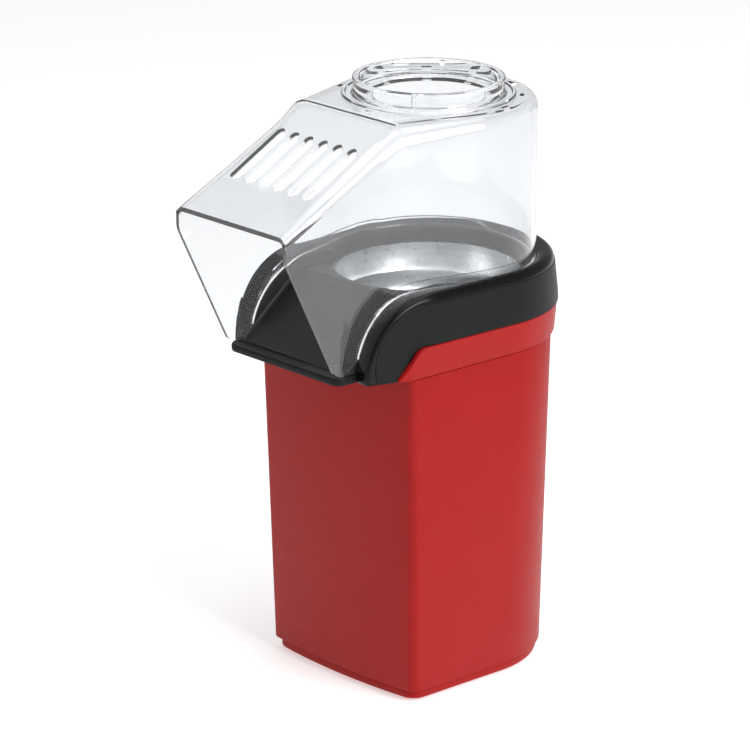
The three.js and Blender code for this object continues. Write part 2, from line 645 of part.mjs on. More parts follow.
function cover() {
  const shell = prism(coverOutline(0), BAND_FOOT, COVER_TOP)
    .intersect(slab(coverSide(), -COVER_RADIUS, COVER_RADIUS));
  const hollow = prism(coverOutline(-COVER_WALL), BAND_FOOT, COVER_TOP)
    .intersect(slab(rounded(coverHollow()), -COVER_RADIUS, COVER_RADIUS));
  let body = shell.subtract(hollow)
    .subtract(rod(NECK_RADIUS - NECK_WALL, COVER_TOP - 2 * COVER_WALL, COVER_TOP + 1, FINE))
    .add(neck());
  const length = (VENT_FOOT - VENT_TOP) / Math.cos(degrees(HOOD_SLOPE));
  const middle = (VENT_FOOT + VENT_TOP) / 2;
  const round = VENT_WIDTH / 2 - 0.05;
  const slot = prism(rounded([[1, 1], [-1, 1], [-1, -1], [1, -1]]
    .map(([x, y]) => [(x * VENT_WIDTH) / 2, (y * length) / 2, round])), -2 * COVER_WALL, 2 * COVER_WALL)
    .rotate([HOOD_SLOPE, 0, 0]);
  for (let i = 0; i < VENT_COUNT; i += 1) {
    const x = (i - (VENT_COUNT - 1) / 2) * VENT_PITCH;
    body = body.subtract(slot.translate(x, -middle, hoodTop(middle)));
  }
  const deckVent = block(DECK_VENT_WIDTH, DECK_VENT_LENGTH, 4 * COVER_WALL, COVER_TOP - 2 * COVER_WALL);
  for (const angle of DECK_VENT_ANGLES) {
    body = body.subtract(deckVent.translate(DECK_VENT_RADIUS, 0, 0).rotate([0, 0, angle]));
  }
  return body;
}

// ---------------------------------------------------------------- chamber and heater

function poppingChamber() {
  const outer = CHAMBER_RADIUS + SHEET;
  const curve = CHAMBER_CURVE;
  let cup = turned([[0, CHAMBER_FOOT], [outer - curve, CHAMBER_FOOT], [outer - 2, CHAMBER_FOOT + 2],
    [outer, CHAMBER_FOOT + curve], [outer, CHAMBER_TOP - SHEET], [CHAMBER_FLANGE, CHAMBER_TOP - SHEET],
    [CHAMBER_FLANGE, CHAMBER_TOP], [CHAMBER_RADIUS, CHAMBER_TOP], [CHAMBER_RADIUS, CHAMBER_FOOT + curve],
    [CHAMBER_RADIUS - 2, CHAMBER_FOOT + 2 + SHEET], [outer - curve, CHAMBER_FOOT + SHEET],
    [0, CHAMBER_FOOT + SHEET]], FINE);
  const slot = block(curve, CHAMBER_SLOT_LENGTH, CHAMBER_SLOT, -CHAMBER_SLOT / 2)
    .rotate([CHAMBER_SLOT_LEAN, 0, 0])
    .translate(CHAMBER_RADIUS, 0, CHAMBER_FOOT + 2 * curve);
  for (let i = 0; i < CHAMBER_SLOTS; i += 1) {
    cup = cup.subtract(slot.rotate([0, 0, (360 * i) / CHAMBER_SLOTS]));
  }
  return cup;
}

function heaterShroud() {
  const inner = SHROUD_RADIUS - SHEET;
  const foot = BLOWER_RADIUS - SHELL;
  const mouth = CHAMBER_RADIUS + SHEET + SLIP;
  return turned([[foot, SHROUD_FOOT], [SHROUD_RADIUS, SHROUD_FOOT], [SHROUD_RADIUS, SHROUD_TOP],
    [mouth, SHROUD_TOP], [mouth, SHROUD_TOP - SHEET], [inner, SHROUD_TOP - SHEET],
    [inner, SHROUD_FOOT + SHEET],
    [foot, SHROUD_FOOT + SHEET]]);
}

function heaterSupport() {
  const outer = SHROUD_RADIUS - SHEET - SLIP;
  const bar = block(2 * outer - SUPPORT_RING, SUPPORT_ARM, SHEET, SUPPORT_FOOT);
  return pipe(outer, outer - SUPPORT_RING, SUPPORT_FOOT, SUPPORT_FOOT + SHEET)
    .add(bar).add(bar.rotate([0, 0, 90]));
}

// Two mica sheets slotted into each other: one is open from above, the other from below.
function micaSheet(openAbove) {
  const slotFoot = openAbove ? MICA_HEIGHT / 2 - GAP : -1;
  const slot = block(MICA + 2 * GAP, 4, MICA_HEIGHT / 2 + GAP + 1, slotFoot);
  const sheet = block(2 * MICA_HALF, MICA, MICA_HEIGHT).subtract(slot);
  return openAbove ? sheet : sheet.rotate([0, 0, 90]);
}

function heatingCoil() {
  const radius = MICA_HALF + GAP + COIL_WIRE;
  const rise = MICA_HEIGHT - 8;
  const count = COIL_TURNS * MEDIUM;
  const points = Array.from({ length: count + 1 }, (_, k) => {
    const [x, y] = onCircle(radius, (360 * COIL_TURNS * k) / count + 20);
    return [x, y, MICA_FOOT + 4 + (rise * k) / count];
  });
  return strand(points, COIL_WIRE, count, 5);
}

function thermostat() {
  const face = SHROUD_RADIUS + GAP;
  const step = face + THERMOSTAT_FLANGE;
  const back = face + THERMOSTAT_DEPTH;
  const side = THERMOSTAT_RADIUS / 2 - FUSE_LEAD;
  const blade = block(BLADE_WIDTH, BLADE, BLADE_LENGTH, BLADE_LENGTH).translate(0, face + FUSE_RADIUS, 0);
  const body = turned([[0, face], [THERMOSTAT_RADIUS, face], [THERMOSTAT_RADIUS, step],
    [THERMOSTAT_CAP_RADIUS, step + THERMOSTAT_CHAMFER], [THERMOSTAT_CAP_RADIUS, back], [0, back]], MEDIUM)
    .rotate([-90, 0, 0])
    .add(blade.translate(side, 0, 0))
    .add(blade.translate(-side, 0, 0));
  return body.translate(0, 0, THERMOSTAT_RISE);
}

function thermalFuse() {
  const neckEnd = FUSE_HALF + FUSE_LEAD;
  return turned([[0, -FUSE_LEAD_END], [FUSE_LEAD, -FUSE_LEAD_END], [FUSE_LEAD, -neckEnd],
    [FUSE_RADIUS, -FUSE_HALF], [FUSE_RADIUS, FUSE_HALF], [FUSE_LEAD, neckEnd], [FUSE_LEAD, FUSE_LEAD_END],
    [0, FUSE_LEAD_END]], SMALL)
    .rotate([0, 90, 0])
    .translate(MICA_HALF / 2, MICA / 2 + GAP + FUSE_RADIUS, MICA_FOOT + MICA_HEIGHT / 2);
}

// ---------------------------------------------------------------- blower

function blowerHousing() {
  const inner = BLOWER_RADIUS - SHELL;
  let housing = turned([[INLET_RADIUS, BLOWER_FOOT], [BLOWER_RADIUS, BLOWER_FOOT],
    [BLOWER_RADIUS, BLOWER_TOP - SHELL], [SHROUD_RADIUS, BLOWER_TOP - SHELL],
    [SHROUD_RADIUS, BLOWER_TOP], [inner, BLOWER_TOP],
    [inner, BLOWER_FOOT + SHELL], [INLET_RADIUS, BLOWER_FOOT + SHELL]]);
  for (let i = 0; i < LEGS; i += 1) {
    const leg = rod(BOSS_RADIUS, PLINTH_FOOT + PLATE + GAP, BLOWER_FOOT + SHELL, SMALL);
    housing = housing.add(leg.translate(...onCircle(LEG_RADIUS, (360 * (i + 0.5)) / LEGS), 0));
  }
  for (const [x, y] of mountScrews) {
    housing = housing.subtract(rod(SCREW_RADIUS + GAP, 0, BLOWER_TOP, SMALL).translate(x, y, 0));
  }
  return housing;
}

function motorMount() {
  const top = MOUNT_FOOT + MOUNT_PLATE;
  let plate = rod(MOUNT_HUB, MOUNT_FOOT, top, MEDIUM);
  for (const angle of MOUNT_ANGLES) {
    const arm = block(MOUNT_REACH, MOUNT_ARM, MOUNT_PLATE, MOUNT_FOOT).translate(MOUNT_REACH / 2, 0, 0);
    plate = plate.add(arm.rotate([0, 0, angle]));
  }
  for (const [x, y] of mountScrews) {
    plate = plate.subtract(rod(SCREW_RADIUS + GAP, 0, top + 1, SMALL).translate(x, y, 0));
  }
  return plate.subtract(rod(MOTOR_NOSE + SLIP, MOUNT_FOOT - 1, top + 1, MEDIUM));
}

function motorCan() {
  const bore = SHAFT_RADIUS + SLIP;
  const wall = MOTOR_WALL;
  const nose = MOTOR_TOP + MOUNT_PLATE;
  return turned([[bore, nose], [bore, MOTOR_TOP - wall], [MOTOR_RADIUS - wall, MOTOR_TOP - wall],
    [MOTOR_RADIUS - wall, MOTOR_FOOT], [MOTOR_RADIUS, MOTOR_FOOT], [MOTOR_RADIUS, MOTOR_TOP],
    [MOTOR_NOSE, MOTOR_TOP], [MOTOR_NOSE, nose]], MEDIUM);
}

function motorCap() {
  const top = MOTOR_FOOT - GAP;
  return pipe(MOTOR_RADIUS, SHAFT_RADIUS + SLIP, top - MOTOR_CAP, top, MEDIUM);
}

function motorArmature() {
  const radius = MOTOR_RADIUS - MOTOR_MAGNET;
  let core = pipe(radius, SHAFT_RADIUS + GAP, MOTOR_FOOT + ARMATURE_END, MOTOR_TOP - ARMATURE_END, MEDIUM);
  for (let i = 0; i < MOTOR_POLES; i += 1) {
    const slot = block(radius, MOTOR_MAGNET, MOTOR_LENGTH, MOTOR_FOOT).translate(radius, 0, 0);
    core = core.subtract(slot.rotate([0, 0, (360 * i) / MOTOR_POLES]));
  }
  return core;
}

function motorShaft() {
  return rod(SHAFT_RADIUS, MOTOR_FOOT - MOTOR_CAP, FAN_TOP - 2, SMALL);
}

function fanWheel() {
  const plate = rod(FAN_RADIUS, FAN_TOP - FAN_PLATE, FAN_TOP, FINE);
  const ring = pipe(FAN_RADIUS, FAN_RADIUS - 4, FAN_FOOT, FAN_FOOT + FAN_PLATE);
  let wheel = plate.add(rod(FAN_HUB, FAN_FOOT, FAN_TOP, MEDIUM)).add(ring);
  const span = FAN_RADIUS - FAN_INNER - 1;
  const blade = block(span, FAN_BLADE, FAN_HEIGHT - 0.4, FAN_FOOT + 0.2)
    .translate(span / 2, 0, 0).rotate([0, 0, FAN_LEAN]).translate(FAN_INNER, 0, 0);
  for (let i = 0; i < FAN_BLADES; i += 1) {
    wheel = wheel.add(blade.rotate([0, 0, (360 * i) / FAN_BLADES]));
  }
  return wheel.subtract(rod(SHAFT_RADIUS + GAP, 0, FAN_TOP - 2 + GAP, SMALL));
}

function rectifierBoard() {
  return pipe(BOARD_RADIUS, SHAFT_RADIUS + SLIP, BOARD_FOOT, BOARD_FOOT + BOARD, MEDIUM);
}

function diode() {
  const body = DIODE_RADIUS;
  const lead = DIODE_LEAD;
  const half = DIODE_LENGTH / 2;
  const end = half + DIODE_LEAD_LENGTH;
  return turned([[0, -end], [lead, -end], [lead, -half], [body, -half], [body, half], [lead, half],
    [lead, end], [0, end]], SMALL)
    .rotate([0, 90, 0]);
}

// ---------------------------------------------------------------- switch and wiring

function switchFrame() {
  const front = SWITCH_SEAT + GAP;
  const back = front - SWITCH_DEPTH;
  const depth = SWITCH_DEPTH + BEZEL / 2;
  const wellHalf = ROCKER_SWEEP + SLIP;
  const well = block(ROCKER_WIDTH + 2 * SLIP, 2 * ROCKER_WELL, 2 * wellHalf, -wellHalf);
  const blade = block(BLADE, BLADE_LENGTH, 2 * BLADE_WIDTH, -BLADE_WIDTH).translate(0, back - 2, 0);
  return block(BEZEL_WIDTH, BEZEL, BEZEL_HEIGHT, -BEZEL_HEIGHT / 2).translate(0, front + BEZEL / 2, 0)
    .add(block(SWITCH_WIDTH, depth, SWITCH_HEIGHT, -SWITCH_HEIGHT / 2).translate(0, back + depth / 2, 0))
    .subtract(well.translate(0, SWITCH_SEAT + BEZEL + GAP, 0))
    .add(blade.translate(0, 0, 2 * BLADE_WIDTH))
    .add(blade.translate(0, 0, -2 * BLADE_WIDTH))
    .translate(0, 0, SWITCH_RISE);
}

// Rocker seen from the side: a shallow V outside and a round back, about its pivot at the origin.
function rocker() {
  const valley = ROCKER_PROUD / 2;
  return slab([[valley, 0], [ROCKER_PROUD, ROCKER_HALF], [0, ROCKER_HALF], [-ROCKER_DEPTH, ROCKER_HALF / 2],
    [-ROCKER_DEPTH, -ROCKER_HALF / 2], [0, -ROCKER_HALF], [ROCKER_PROUD, -ROCKER_HALF]],
  -ROCKER_WIDTH / 2, ROCKER_WIDTH / 2);
}

function terminalBlock() {
  const top = TERMINAL_FOOT + TERMINAL_HEIGHT;
  let body = block(TERMINAL_WIDTH, TERMINAL_DEPTH, TERMINAL_HEIGHT, TERMINAL_FOOT);
  for (const x of [-1, 0, 1]) {
    const well = rod(TERMINAL_WELL_RADIUS, top - TERMINAL_WELL, top + 1, SMALL);
    body = body.subtract(well.translate((x * TERMINAL_WIDTH) / 3, 0, 0));
  }
  return body.translate(0, TERMINAL_Y, 0);
}

// Wires between the gland, the terminals, the switch and the thermostat, as lists of points.
function wires() {
  const blockTop = TERMINAL_FOOT + TERMINAL_HEIGHT;
  const switchBack = SWITCH_SEAT - SWITCH_DEPTH - 6;
  const third = TERMINAL_WIDTH / 3;
  const riser = (backOf(BLOWER_TOP) - SHELL + SHROUD_RADIUS) / 2;
  return {
    wire_inlet: [onGlandAxis(GLAND_END + WIRE_START), onGlandAxis(GLAND_END + WIRE_BEND),
      [-third - 4, TERMINAL_Y, blockTop + WIRE_RISE], [-third, TERMINAL_Y, blockTop + WIRE]],
    wire_live: [[0, TERMINAL_Y, blockTop + WIRE], [0, TERMINAL_Y + 2, blockTop + WIRE_RISE],
      [0, switchBack - 4, SWITCH_RISE - 6], [0, switchBack - GAP, SWITCH_RISE - 5]],
    wire_heater: [[0, switchBack - GAP, SWITCH_RISE + 5], [0, switchBack - 3, SWITCH_RISE + 8],
      [0, switchBack + 3, PAD_TOP - 2], [0, riser - 3, BLOWER_FOOT - 1], [0, riser, BLOWER_FOOT + 6],
      [0, riser, BLOWER_TOP], [0, riser, THERMOSTAT_RISE - 20], [0, riser, THERMOSTAT_RISE - 8]],
  };
}

// ---------------------------------------------------------------- assembly

const FINISHES = {
  redPlastic: [0xb62a2c, 0.42, 0],
  blackPlastic: [0x1c1d1e, 0.38, 0],
  clearPlastic: [0xdfe5e8, 0.12, 0],
  rubber: [0x2a2a2a, 0.85, 0],
  aluminium: [0xc9ccd0, 0.3, 1],
  steel: [0xa7abb0, 0.35, 1],
  heatResistant: [0x3a332c, 0.6, 0],
  mica: [0xb9a27c, 0.55, 0],
  nichrome: [0x8d8580, 0.45, 1],
  nylon: [0xe9e6dc, 0.5, 0],
  laminate: [0x2f6b3a, 0.5, 0],
  wire: [0xd8d4cc, 0.6, 0],
};

const unit = new THREE.Group(); // everything, drawn about the blower axis
unit.position.y = -MODEL_CENTRE;

function add(name, body, finish, parent = unit) {
  const [color, roughness, metalness] = FINISHES[finish];
  const material = new THREE.MeshStandardMaterial({ color, roughness, metalness });
  const mesh = new THREE.Mesh(geometryOf(body), material);
  mesh.name = name;
  parent.add(mesh);
  return mesh;
}

// Copies of one piece, numbered from 1, at [x, y] places and one height.
function addCopies(name, body, finish, places, z) {
  places.forEach(([x, y], i) => add(`${name}_${i + 1}`, body, finish).position.set(x, y, z));
}

add("base_plate", basePlate(), "redPlastic");
addCopies("rubber_foot", rubberFoot(), "rubber", footPlaces, 0);
addCopies("base_screw", screw(SCREW_LENGTH), "steel", screwPlaces, SCREW_SEAT);
add("body_shell", bodyShell(), "redPlastic");
add("upper_band", upperBand(), "redPlastic");
add("collar", collar(), "blackPlastic");
add("clear_cover", cover(), "clearPlastic");
add("popping_chamber", poppingChamber(), "aluminium");
add("heater_shroud", heaterShroud(), "steel");
add("heater_support", heaterSupport(), "steel");
add("mica_sheet_1", micaSheet(true), "mica").position.z = MICA_FOOT;
add("mica_sheet_2", micaSheet(false), "mica").position.z = MICA_FOOT;
add("heating_coil", heatingCoil(), "nichrome");
add("thermostat", thermostat(), "steel");
add("thermal_fuse", thermalFuse(), "steel");
add("blower_housing", blowerHousing(), "heatResistant");
add("motor_mount", motorMount(), "steel");
addCopies("mount_screw", screw(MOUNT_SCREW_LENGTH), "steel", mountScrews, MOUNT_FOOT - GAP);
add("motor_can", motorCan(), "steel");
add("motor_cap", motorCap(), "nylon");
add("motor_armature", motorArmature(), "steel");
add("motor_shaft", motorShaft(), "steel");
add("fan_wheel", fanWheel(), "heatResistant");
add("rectifier_board", rectifierBoard(), "laminate");
const diodePlaces = Array.from({ length: DIODES }, (_, k) =>
  onCircle(BOARD_RADIUS / 2, (360 * (k + 0.5)) / DIODES));
addCopies("diode", diode(), "blackPlastic", diodePlaces, BOARD_FOOT - GAP - DIODE_RADIUS);
add("terminal_block", terminalBlock(), "nylon");
add("cord_gland", cordGland(), "rubber");
add("switch_frame", switchFrame(), "blackPlastic");
const pivot = new THREE.Group();
pivot.position.set(0, SWITCH_SEAT + GAP, SWITCH_RISE);
pivot.rotation.x = degrees(-ROCKER_TILT);
unit.add(pivot);
add("rocker_button", rocker(), "blackPlastic", pivot);
for (const [name, points] of Object.entries(wires())) {
  add(name, strand(points, WIRE, 3 * points.length), "wire");
}

const popcornMaker = new THREE.Group();
popcornMaker.add(unit);

export default popcornMaker;
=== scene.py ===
import json
import math

import bmesh
import bpy
import numpy as np
from mathutils import Matrix, Vector


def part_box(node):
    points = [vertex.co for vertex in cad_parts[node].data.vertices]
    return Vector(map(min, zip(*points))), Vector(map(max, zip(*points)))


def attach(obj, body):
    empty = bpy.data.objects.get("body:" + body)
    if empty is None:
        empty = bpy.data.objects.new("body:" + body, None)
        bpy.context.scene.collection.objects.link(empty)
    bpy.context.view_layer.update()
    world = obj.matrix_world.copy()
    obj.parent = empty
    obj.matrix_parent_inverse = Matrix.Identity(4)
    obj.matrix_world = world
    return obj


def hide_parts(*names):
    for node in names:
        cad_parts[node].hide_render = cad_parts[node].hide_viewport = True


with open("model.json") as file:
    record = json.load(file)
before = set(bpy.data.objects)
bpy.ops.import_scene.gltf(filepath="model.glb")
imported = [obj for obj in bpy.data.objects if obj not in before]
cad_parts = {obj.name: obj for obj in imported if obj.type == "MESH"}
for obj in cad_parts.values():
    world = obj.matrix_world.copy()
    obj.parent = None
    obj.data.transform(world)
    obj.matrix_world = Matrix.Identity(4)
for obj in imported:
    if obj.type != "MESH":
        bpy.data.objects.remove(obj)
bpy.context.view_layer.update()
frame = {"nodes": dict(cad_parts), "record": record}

# Everything below is drawn in millimetres about the blower's vertical axis, with the chute
# pouring towards -Y, and put() turns that into the frame's metres.
MM = 0.001
FAN_LOW, FAN_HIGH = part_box("fan_wheel")
AXIS = Vector((0, (FAN_LOW.y + FAN_HIGH.y) / 2, 0))


def reach(node):
    """Lowest and highest corner of a CAD node, in millimetres about the blower's axis."""
    return [(corner - AXIS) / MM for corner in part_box(node)]


# ---------------------------------------------------------------- sizes

BODY_LOW, BODY_HIGH = reach("body_shell")
BAND_HIGH = reach("upper_band")[1]
COLLAR_HIGH = reach("collar")[1]
COVER_HIGH = reach("clear_cover")[1]
PLATE_LOW, PLATE_HIGH = reach("base_plate")
CHAMBER_LOW, CHAMBER_HIGH = reach("popping_chamber")
SWITCH_LOW, SWITCH_HIGH = reach("switch_frame")
GLAND_LOW, GLAND_HIGH = reach("cord_gland")
SCREW_HEAD_LOW = reach("base_screw_1")[0].z

GAP = 0.3
SHELL = 2.4
EDGE = 0.5  # rounding of moulded edges

# Tower
BACK_CENTRE = 4.7  # the round back's centre, behind the axis
BODY_FRONT = 63.8
BODY_BOW = 3.7
BODY_FRONT_HALF = 54.3
BODY_HALF = BODY_HIGH.x
BODY_CORNER = 8
FOOT_SCALE = 0.935
PLINTH_TOP = BODY_LOW.z - GAP
PLINTH_INSET = 1.7
PLINTH_CORNER = 13
PLINTH_ROUND = 1.2
PLINTH_EASE = 0.992  # scale of the ring that softens the plinth's lower edge
PLATE_FLOOR = 2.5
SPIGOT_INSET = SHELL + 0.4
FOOT_X = 28
FOOT_YS = (-48, 34)
FOOT_RADIUS = 6
FOOT_RECESS = 1.3
SCREW_X = 40
SCREW_YS = (-44, 18)
SCREW_HOLE = 3.3
SCREW_SINK = 2.4
INTAKE_RADIUS = 30
INTAKE_SLOT = 3.2
INTAKE_PITCH = 6.4
BASE_CUT = (-1, 5)  # heights that the slots' cutters span
PAD_MARGIN = 3
PAD_FACE = BODY_HIGH.y - 2.1  # face of the pad round the switch
WINDOW_HALF = 6.6  # the switch's hole through the back wall
WINDOW_MARGIN = 1
WINDOW_SPAN = (40, 90)  # how far its cutter runs behind the axis
GLAND_TURN = 38  # degrees round the back
GLAND_RADIUS = 5
GLAND_BORE = 3.4
GLAND_TAIL = 5  # length inside the wall
GLAND_TAIL_RADIUS = 4.4
GLAND_FLANGE = 7.5
GLAND_NOSE = 6
DRILL_REACH = 20
DRILL_CORE = 0.1  # radius that the gland's drill leaves open on its axis
NEAR_AXIS = 0.05  # radius that a turned solid leaves open on its axis

# Band and collar
BAND_HALF = BODY_HALF + 1.6
BAND_FLARE = 1.2
BAND_FRONT = 76
BAND_FRONT_HALF = 55.1
BAND_CORNER = 14
BAND_FOOT = BODY_HIGH.z + GAP
BAND_TOP = BAND_HIGH.z
ARM_START = 45  # the arms curve down from here, in front of the axis
ARM_CENTRE = BAND_FOOT + 1.5
CREST = COLLAR_HIGH.z - ARM_CENTRE  # the rim's crest above the centre of the arms' curve
DECK = CREST - 2
COLLAR_EDGE = BAND_TOP + GAP
SWEEP_TOP = 57  # the seam between band and collar sweeps down from here ...
SWEEP_FOOT = 68.5  # ... to here, in front of the axis
SWEEP_ROUND = 9
SWEEP_FOOT_ROUND = 3
BAND_SPIGOT = 6  # how far the band's inner ring runs down into the tower and up into the band
SPIGOT_SLIP = 0.8
SIDE_FOOT = COLLAR_EDGE - ARM_CENTRE
SIDE_TOP = 33  # where the flat side ends and the rounded shoulder starts
SIDE_DRAFT = 1.8
DRAFT_FROM = 16  # the side leans in from this rise up
SIDE_SWELL = 3
CREST_DROP = 1.1
COLLAR_TURN = (56.6, -46)  # where the flat sides turn in towards the front ...
COLLAR_TURN_ROUND = 60
COLLAR_FRONT = (50.3, -80)  # ... and a point that they reach there
ARM_OUTSIDE = 42  # laterals past this belong to the arm's outer side
ARM_FOOT_ROUND = ((-1.5, 0.9), (-1.2, 0.3), (-0.7, 0.0))  # drop and draw-in of the rings at its foot
ARM_WALL_TURN = 14  # degrees over which the arm's inner wall grows shorter ...
ARM_WALL_LOW = 23  # ... to start from this rise
SHOULDER = 6.2  # width from the collar's side to its crest
SHOULDER_FRONT = 4.2
CREASE = 0.35
OPENING = 46.8
CHUTE_HALF = 36
CHUTE_WALL = 2.4
CHUTE_TOP = COLLAR_HIGH.z - 6
CHUTE_BACK = 49.2
CHUTE_FRONT = 85.7
CHUTE_REACH = 93.7
LIP_TOP = BAND_FOOT + 4
TONGUE_HALF = 39
TONGUE_CORNER = 5
TONGUE_BACK = 80
CHUTE_CURL = 2  # radius where the chute's floor meets its walls
SKIRT_FOOT = CHAMBER_HIGH.z + GAP

# Clear cover
COVER_WALL = 2
COVER_RADIUS = COVER_HIGH.x
COVER_HALF = 38.3
COVER_FLARE = 14  # degrees
COVER_FLARE_ROUND = 40
COVER_FOOT = COLLAR_HIGH.z - 2 + GAP
COVER_TOP = COVER_FOOT + 79.1
COVER_SLIP = 0.4
FOLD = 50.4
FOLD_SOFT = 1.6
HOOD_TAN = math.tan(math.radians(28.1))
MOUTH = 124.4
MOUTH_BEND = 11
MOUTH_ROUND = 40
MOUTH_TIP = 94
TIP_FOOT = LIP_TOP + 0.6
TIP_ROUND = 6.4
RIM_STEP = 4.6  # height of the thicker rim along the cover's foot
RIM_EXTRA = 0.35
NECK = 36
NECK_WALL = 2.4
NECK_TOP = COVER_HIGH.z
NECK_RING = 41.5
NECK_LEDGE = 4
NECK_RIB_ANGLES = (35, 125, 215, 305)
EDGE_PLACES = (-MOUTH, -FOLD, -20, 15)  # along the cover, from the mouth to the back ...
EDGE_RADII = (5, 11, 8, 5)  # ... and the rounding of its top edge there
TOP_STEPS = 9
VENTS = 6
VENT_WIDTH = 4.6
VENT_PITCH = 9.92
VENT_TOP = 69.5
VENT_FOOT = 102
DECK_VENT_RADIUS = 44.2
DECK_VENT_HALVES = (1, 2.5)
DECK_VENT_ANGLES = (10, 42, 74, 106, 138, 170, 209, 279)

# Popping chamber
CUP_RADIUS = 45
CUP_WALL = 1
CUP_CORNER = 8
DOME_TOP = 14  # the raised middle of the floor, at its top ...
DOME_FOOT = 18  # ... and at its foot
DOME_RISE = 1.6
BEAD = 0.8  # stiffening beads rolled into the wall ...
BEAD_DROPS = (22, 12)  # ... and how far below the rim each one ends
BEAD_HALF = 1.5
AIR_SLOTS = 14
AIR_SLOT_RISE = 16
AIR_SLOT_LEAN = 40  # degrees
AIR_SLOT_HALF = (4, 4.5, 0.9)


# ---------------------------------------------------------------- outlines

def rounded(corners, closed=True, step=6):
    """Outline whose corners are (x, y) or (x, y, radius), each rounded with an arc of short steps."""
    points = [np.array(corner[:2], float) for corner in corners]
    out = []
    for i, corner in enumerate(corners):
        at_end = not closed and i in (0, len(corners) - 1)
        if len(corner) < 3 or at_end:
            out.append(points[i])
            continue
        back = points[i - 1] - points[i]
        ahead = points[(i + 1) % len(points)] - points[i]
        room = 0.49 * min(np.linalg.norm(back), np.linalg.norm(ahead))
        back /= np.linalg.norm(back)
        ahead /= np.linalg.norm(ahead)
        half = math.acos(float(np.clip(back @ ahead, -1, 1))) / 2
        cut = min(corner[2] / math.tan(half), room)
        middle = (back + ahead) / np.linalg.norm(back + ahead)
        centre = points[i] + middle * cut / math.cos(half)
        start = points[i] + back * cut - centre
        across = points[i] + ahead * cut - centre
        turn = math.atan2(start[0] * across[1] - start[1] * across[0], start @ across)
        steps = max(3, round(abs(math.degrees(turn)) / step))
        for k in range(steps + 1):
            angle = turn * k / steps
            cosine, sine = math.cos(angle), math.sin(angle)
            spun = (start[0] * cosine - start[1] * sine, start[0] * sine + start[1] * cosine)
            out.append(centre + np.array(spun))
    return np.array(out)


def circle_arc(radius, start, end, centre=(0, 0), step=3):
    """Points of an arc between two angles in degrees."""
    steps = max(2, round(abs(end - start) / step))
    angles = np.radians(np.linspace(start, end, steps + 1))
    return np.column_stack([centre[0] + radius * np.cos(angles), centre[1] + radius * np.sin(angles)])


def mirror(half):
    """Whole outline from its right half, which starts and ends on or near the y axis."""
    left = [(-x, y) for x, y in half[::-1] if x > 1e-6]
    return np.array([*map(tuple, half), *left])


def tower_outline(front, bow, front_half, half, corner):
    """Bowed front, rounded corners, flat sides and a round back, seen from above."""
    xs = np.linspace(0, front_half - corner - 1, 9)
    bowed = [(x, -front + bow * (x / front_half) ** 2) for x in xs]
    sharp = (front_half, -front + bow, corner)
    side = rounded([bowed[-1], sharp, (half, BACK_CENTRE)], closed=False)
    back = circle_arc(half, 0, 90, (0, BACK_CENTRE))
    return mirror(np.array([*bowed, *side[1:-1], *back]))


def body_outline():
    return tower_outline(BODY_FRONT, BODY_BOW, BODY_FRONT_HALF, BODY_HALF, BODY_CORNER)


def body_scale(z):
    """The tower's outline at a height, over that at its top."""
    return 1 - (1 - FOOT_SCALE) * (BODY_HIGH.z - z) / (BODY_HIGH.z - BODY_LOW.z)


# ---------------------------------------------------------------- meshes

def loft(rings, closed=False):
    """Shell through rings of equal length: (points, faces, index of each face along its ring)."""
    rings = np.asarray(rings, float)
    count, size = rings.shape[:2]
    faces, marks = [], []
    for i in range(count if closed else count - 1):
        here, there = i * size, ((i + 1) % count) * size
        for k in range(size):
            nxt = (k + 1) % size
            faces.append((here + k, here + nxt, there + nxt, there + k))
            marks.append(k)
    if not closed:
        faces += [tuple(range(size))[::-1], tuple((count - 1) * size + k for k in range(size))]
        marks += [0, 0]
    return rings.reshape(-1, 3), faces, marks


def lathe(profile, segments=96, centre=(0, 0)):
    """Shell turned about a vertical line from a closed profile of (radius, z)."""
    rings = []
    for angle in np.linspace(0, 2 * math.pi, segments, endpoint=False):
        cosine, sine = math.cos(angle), math.sin(angle)
        rings.append([(centre[0] + r * cosine, centre[1] + r * sine, z) for r, z in profile])
    return loft(rings, closed=True)


def stack(outline, levels):
    """Rings of an outline scaled about the axis at each (z, scale)."""
    return [[(x * scale, y * scale, z) for x, y in outline] for z, scale in levels]


def box_shell(low, high):
    (x0, y0, z0), (x1, y1, z1) = low, high
    return loft([[(x0, y0, z), (x1, y0, z), (x1, y1, z), (x0, y1, z)] for z in (z0, z1)])


def put(name, shells, materials):
    """Object made of shells in the frame's metres; a shell may carry its faces' material numbers."""
    mesh = bpy.data.meshes.new(name)
    points, faces, marks = [], [], []
    for shell in shells:
        offset = len(points)
        points += [Vector(map(float, p)) * MM + AXIS for p in shell[0]]
        faces += [tuple(offset + k for k in face) for face in shell[1]]
        marks += shell[3] if len(shell) > 3 else [0] * len(shell[1])
    mesh.from_pydata(points, [], faces)
    for material in materials:
        mesh.materials.append(material)
    mesh.polygons.foreach_set("material_index", marks)
    clean(mesh)
    piece = bpy.data.objects.new(name, mesh)
    bpy.context.scene.collection.objects.link(piece)
    return piece


def clean(mesh, distance=1e-6):
    """Merges doubled points, drops faces without area and points every face outwards."""
    grid = bmesh.new()
    grid.from_mesh(mesh)
    bmesh.ops.remove_doubles(grid, verts=grid.verts, dist=distance)
    bmesh.ops.dissolve_degenerate(grid, dist=distance / 2, edges=grid.edges)
    bmesh.ops.recalc_face_normals(grid, faces=grid.faces)
    grid.to_mesh(mesh)
    grid.free()


def settle(piece):
    """Applies a piece's modifiers to its mesh."""
    bpy.context.view_layer.update()
    made = piece.evaluated_get(bpy.context.evaluated_depsgraph_get())
    mesh = bpy.data.meshes.new_from_object(made)
    piece.modifiers.clear()
    piece.data = mesh


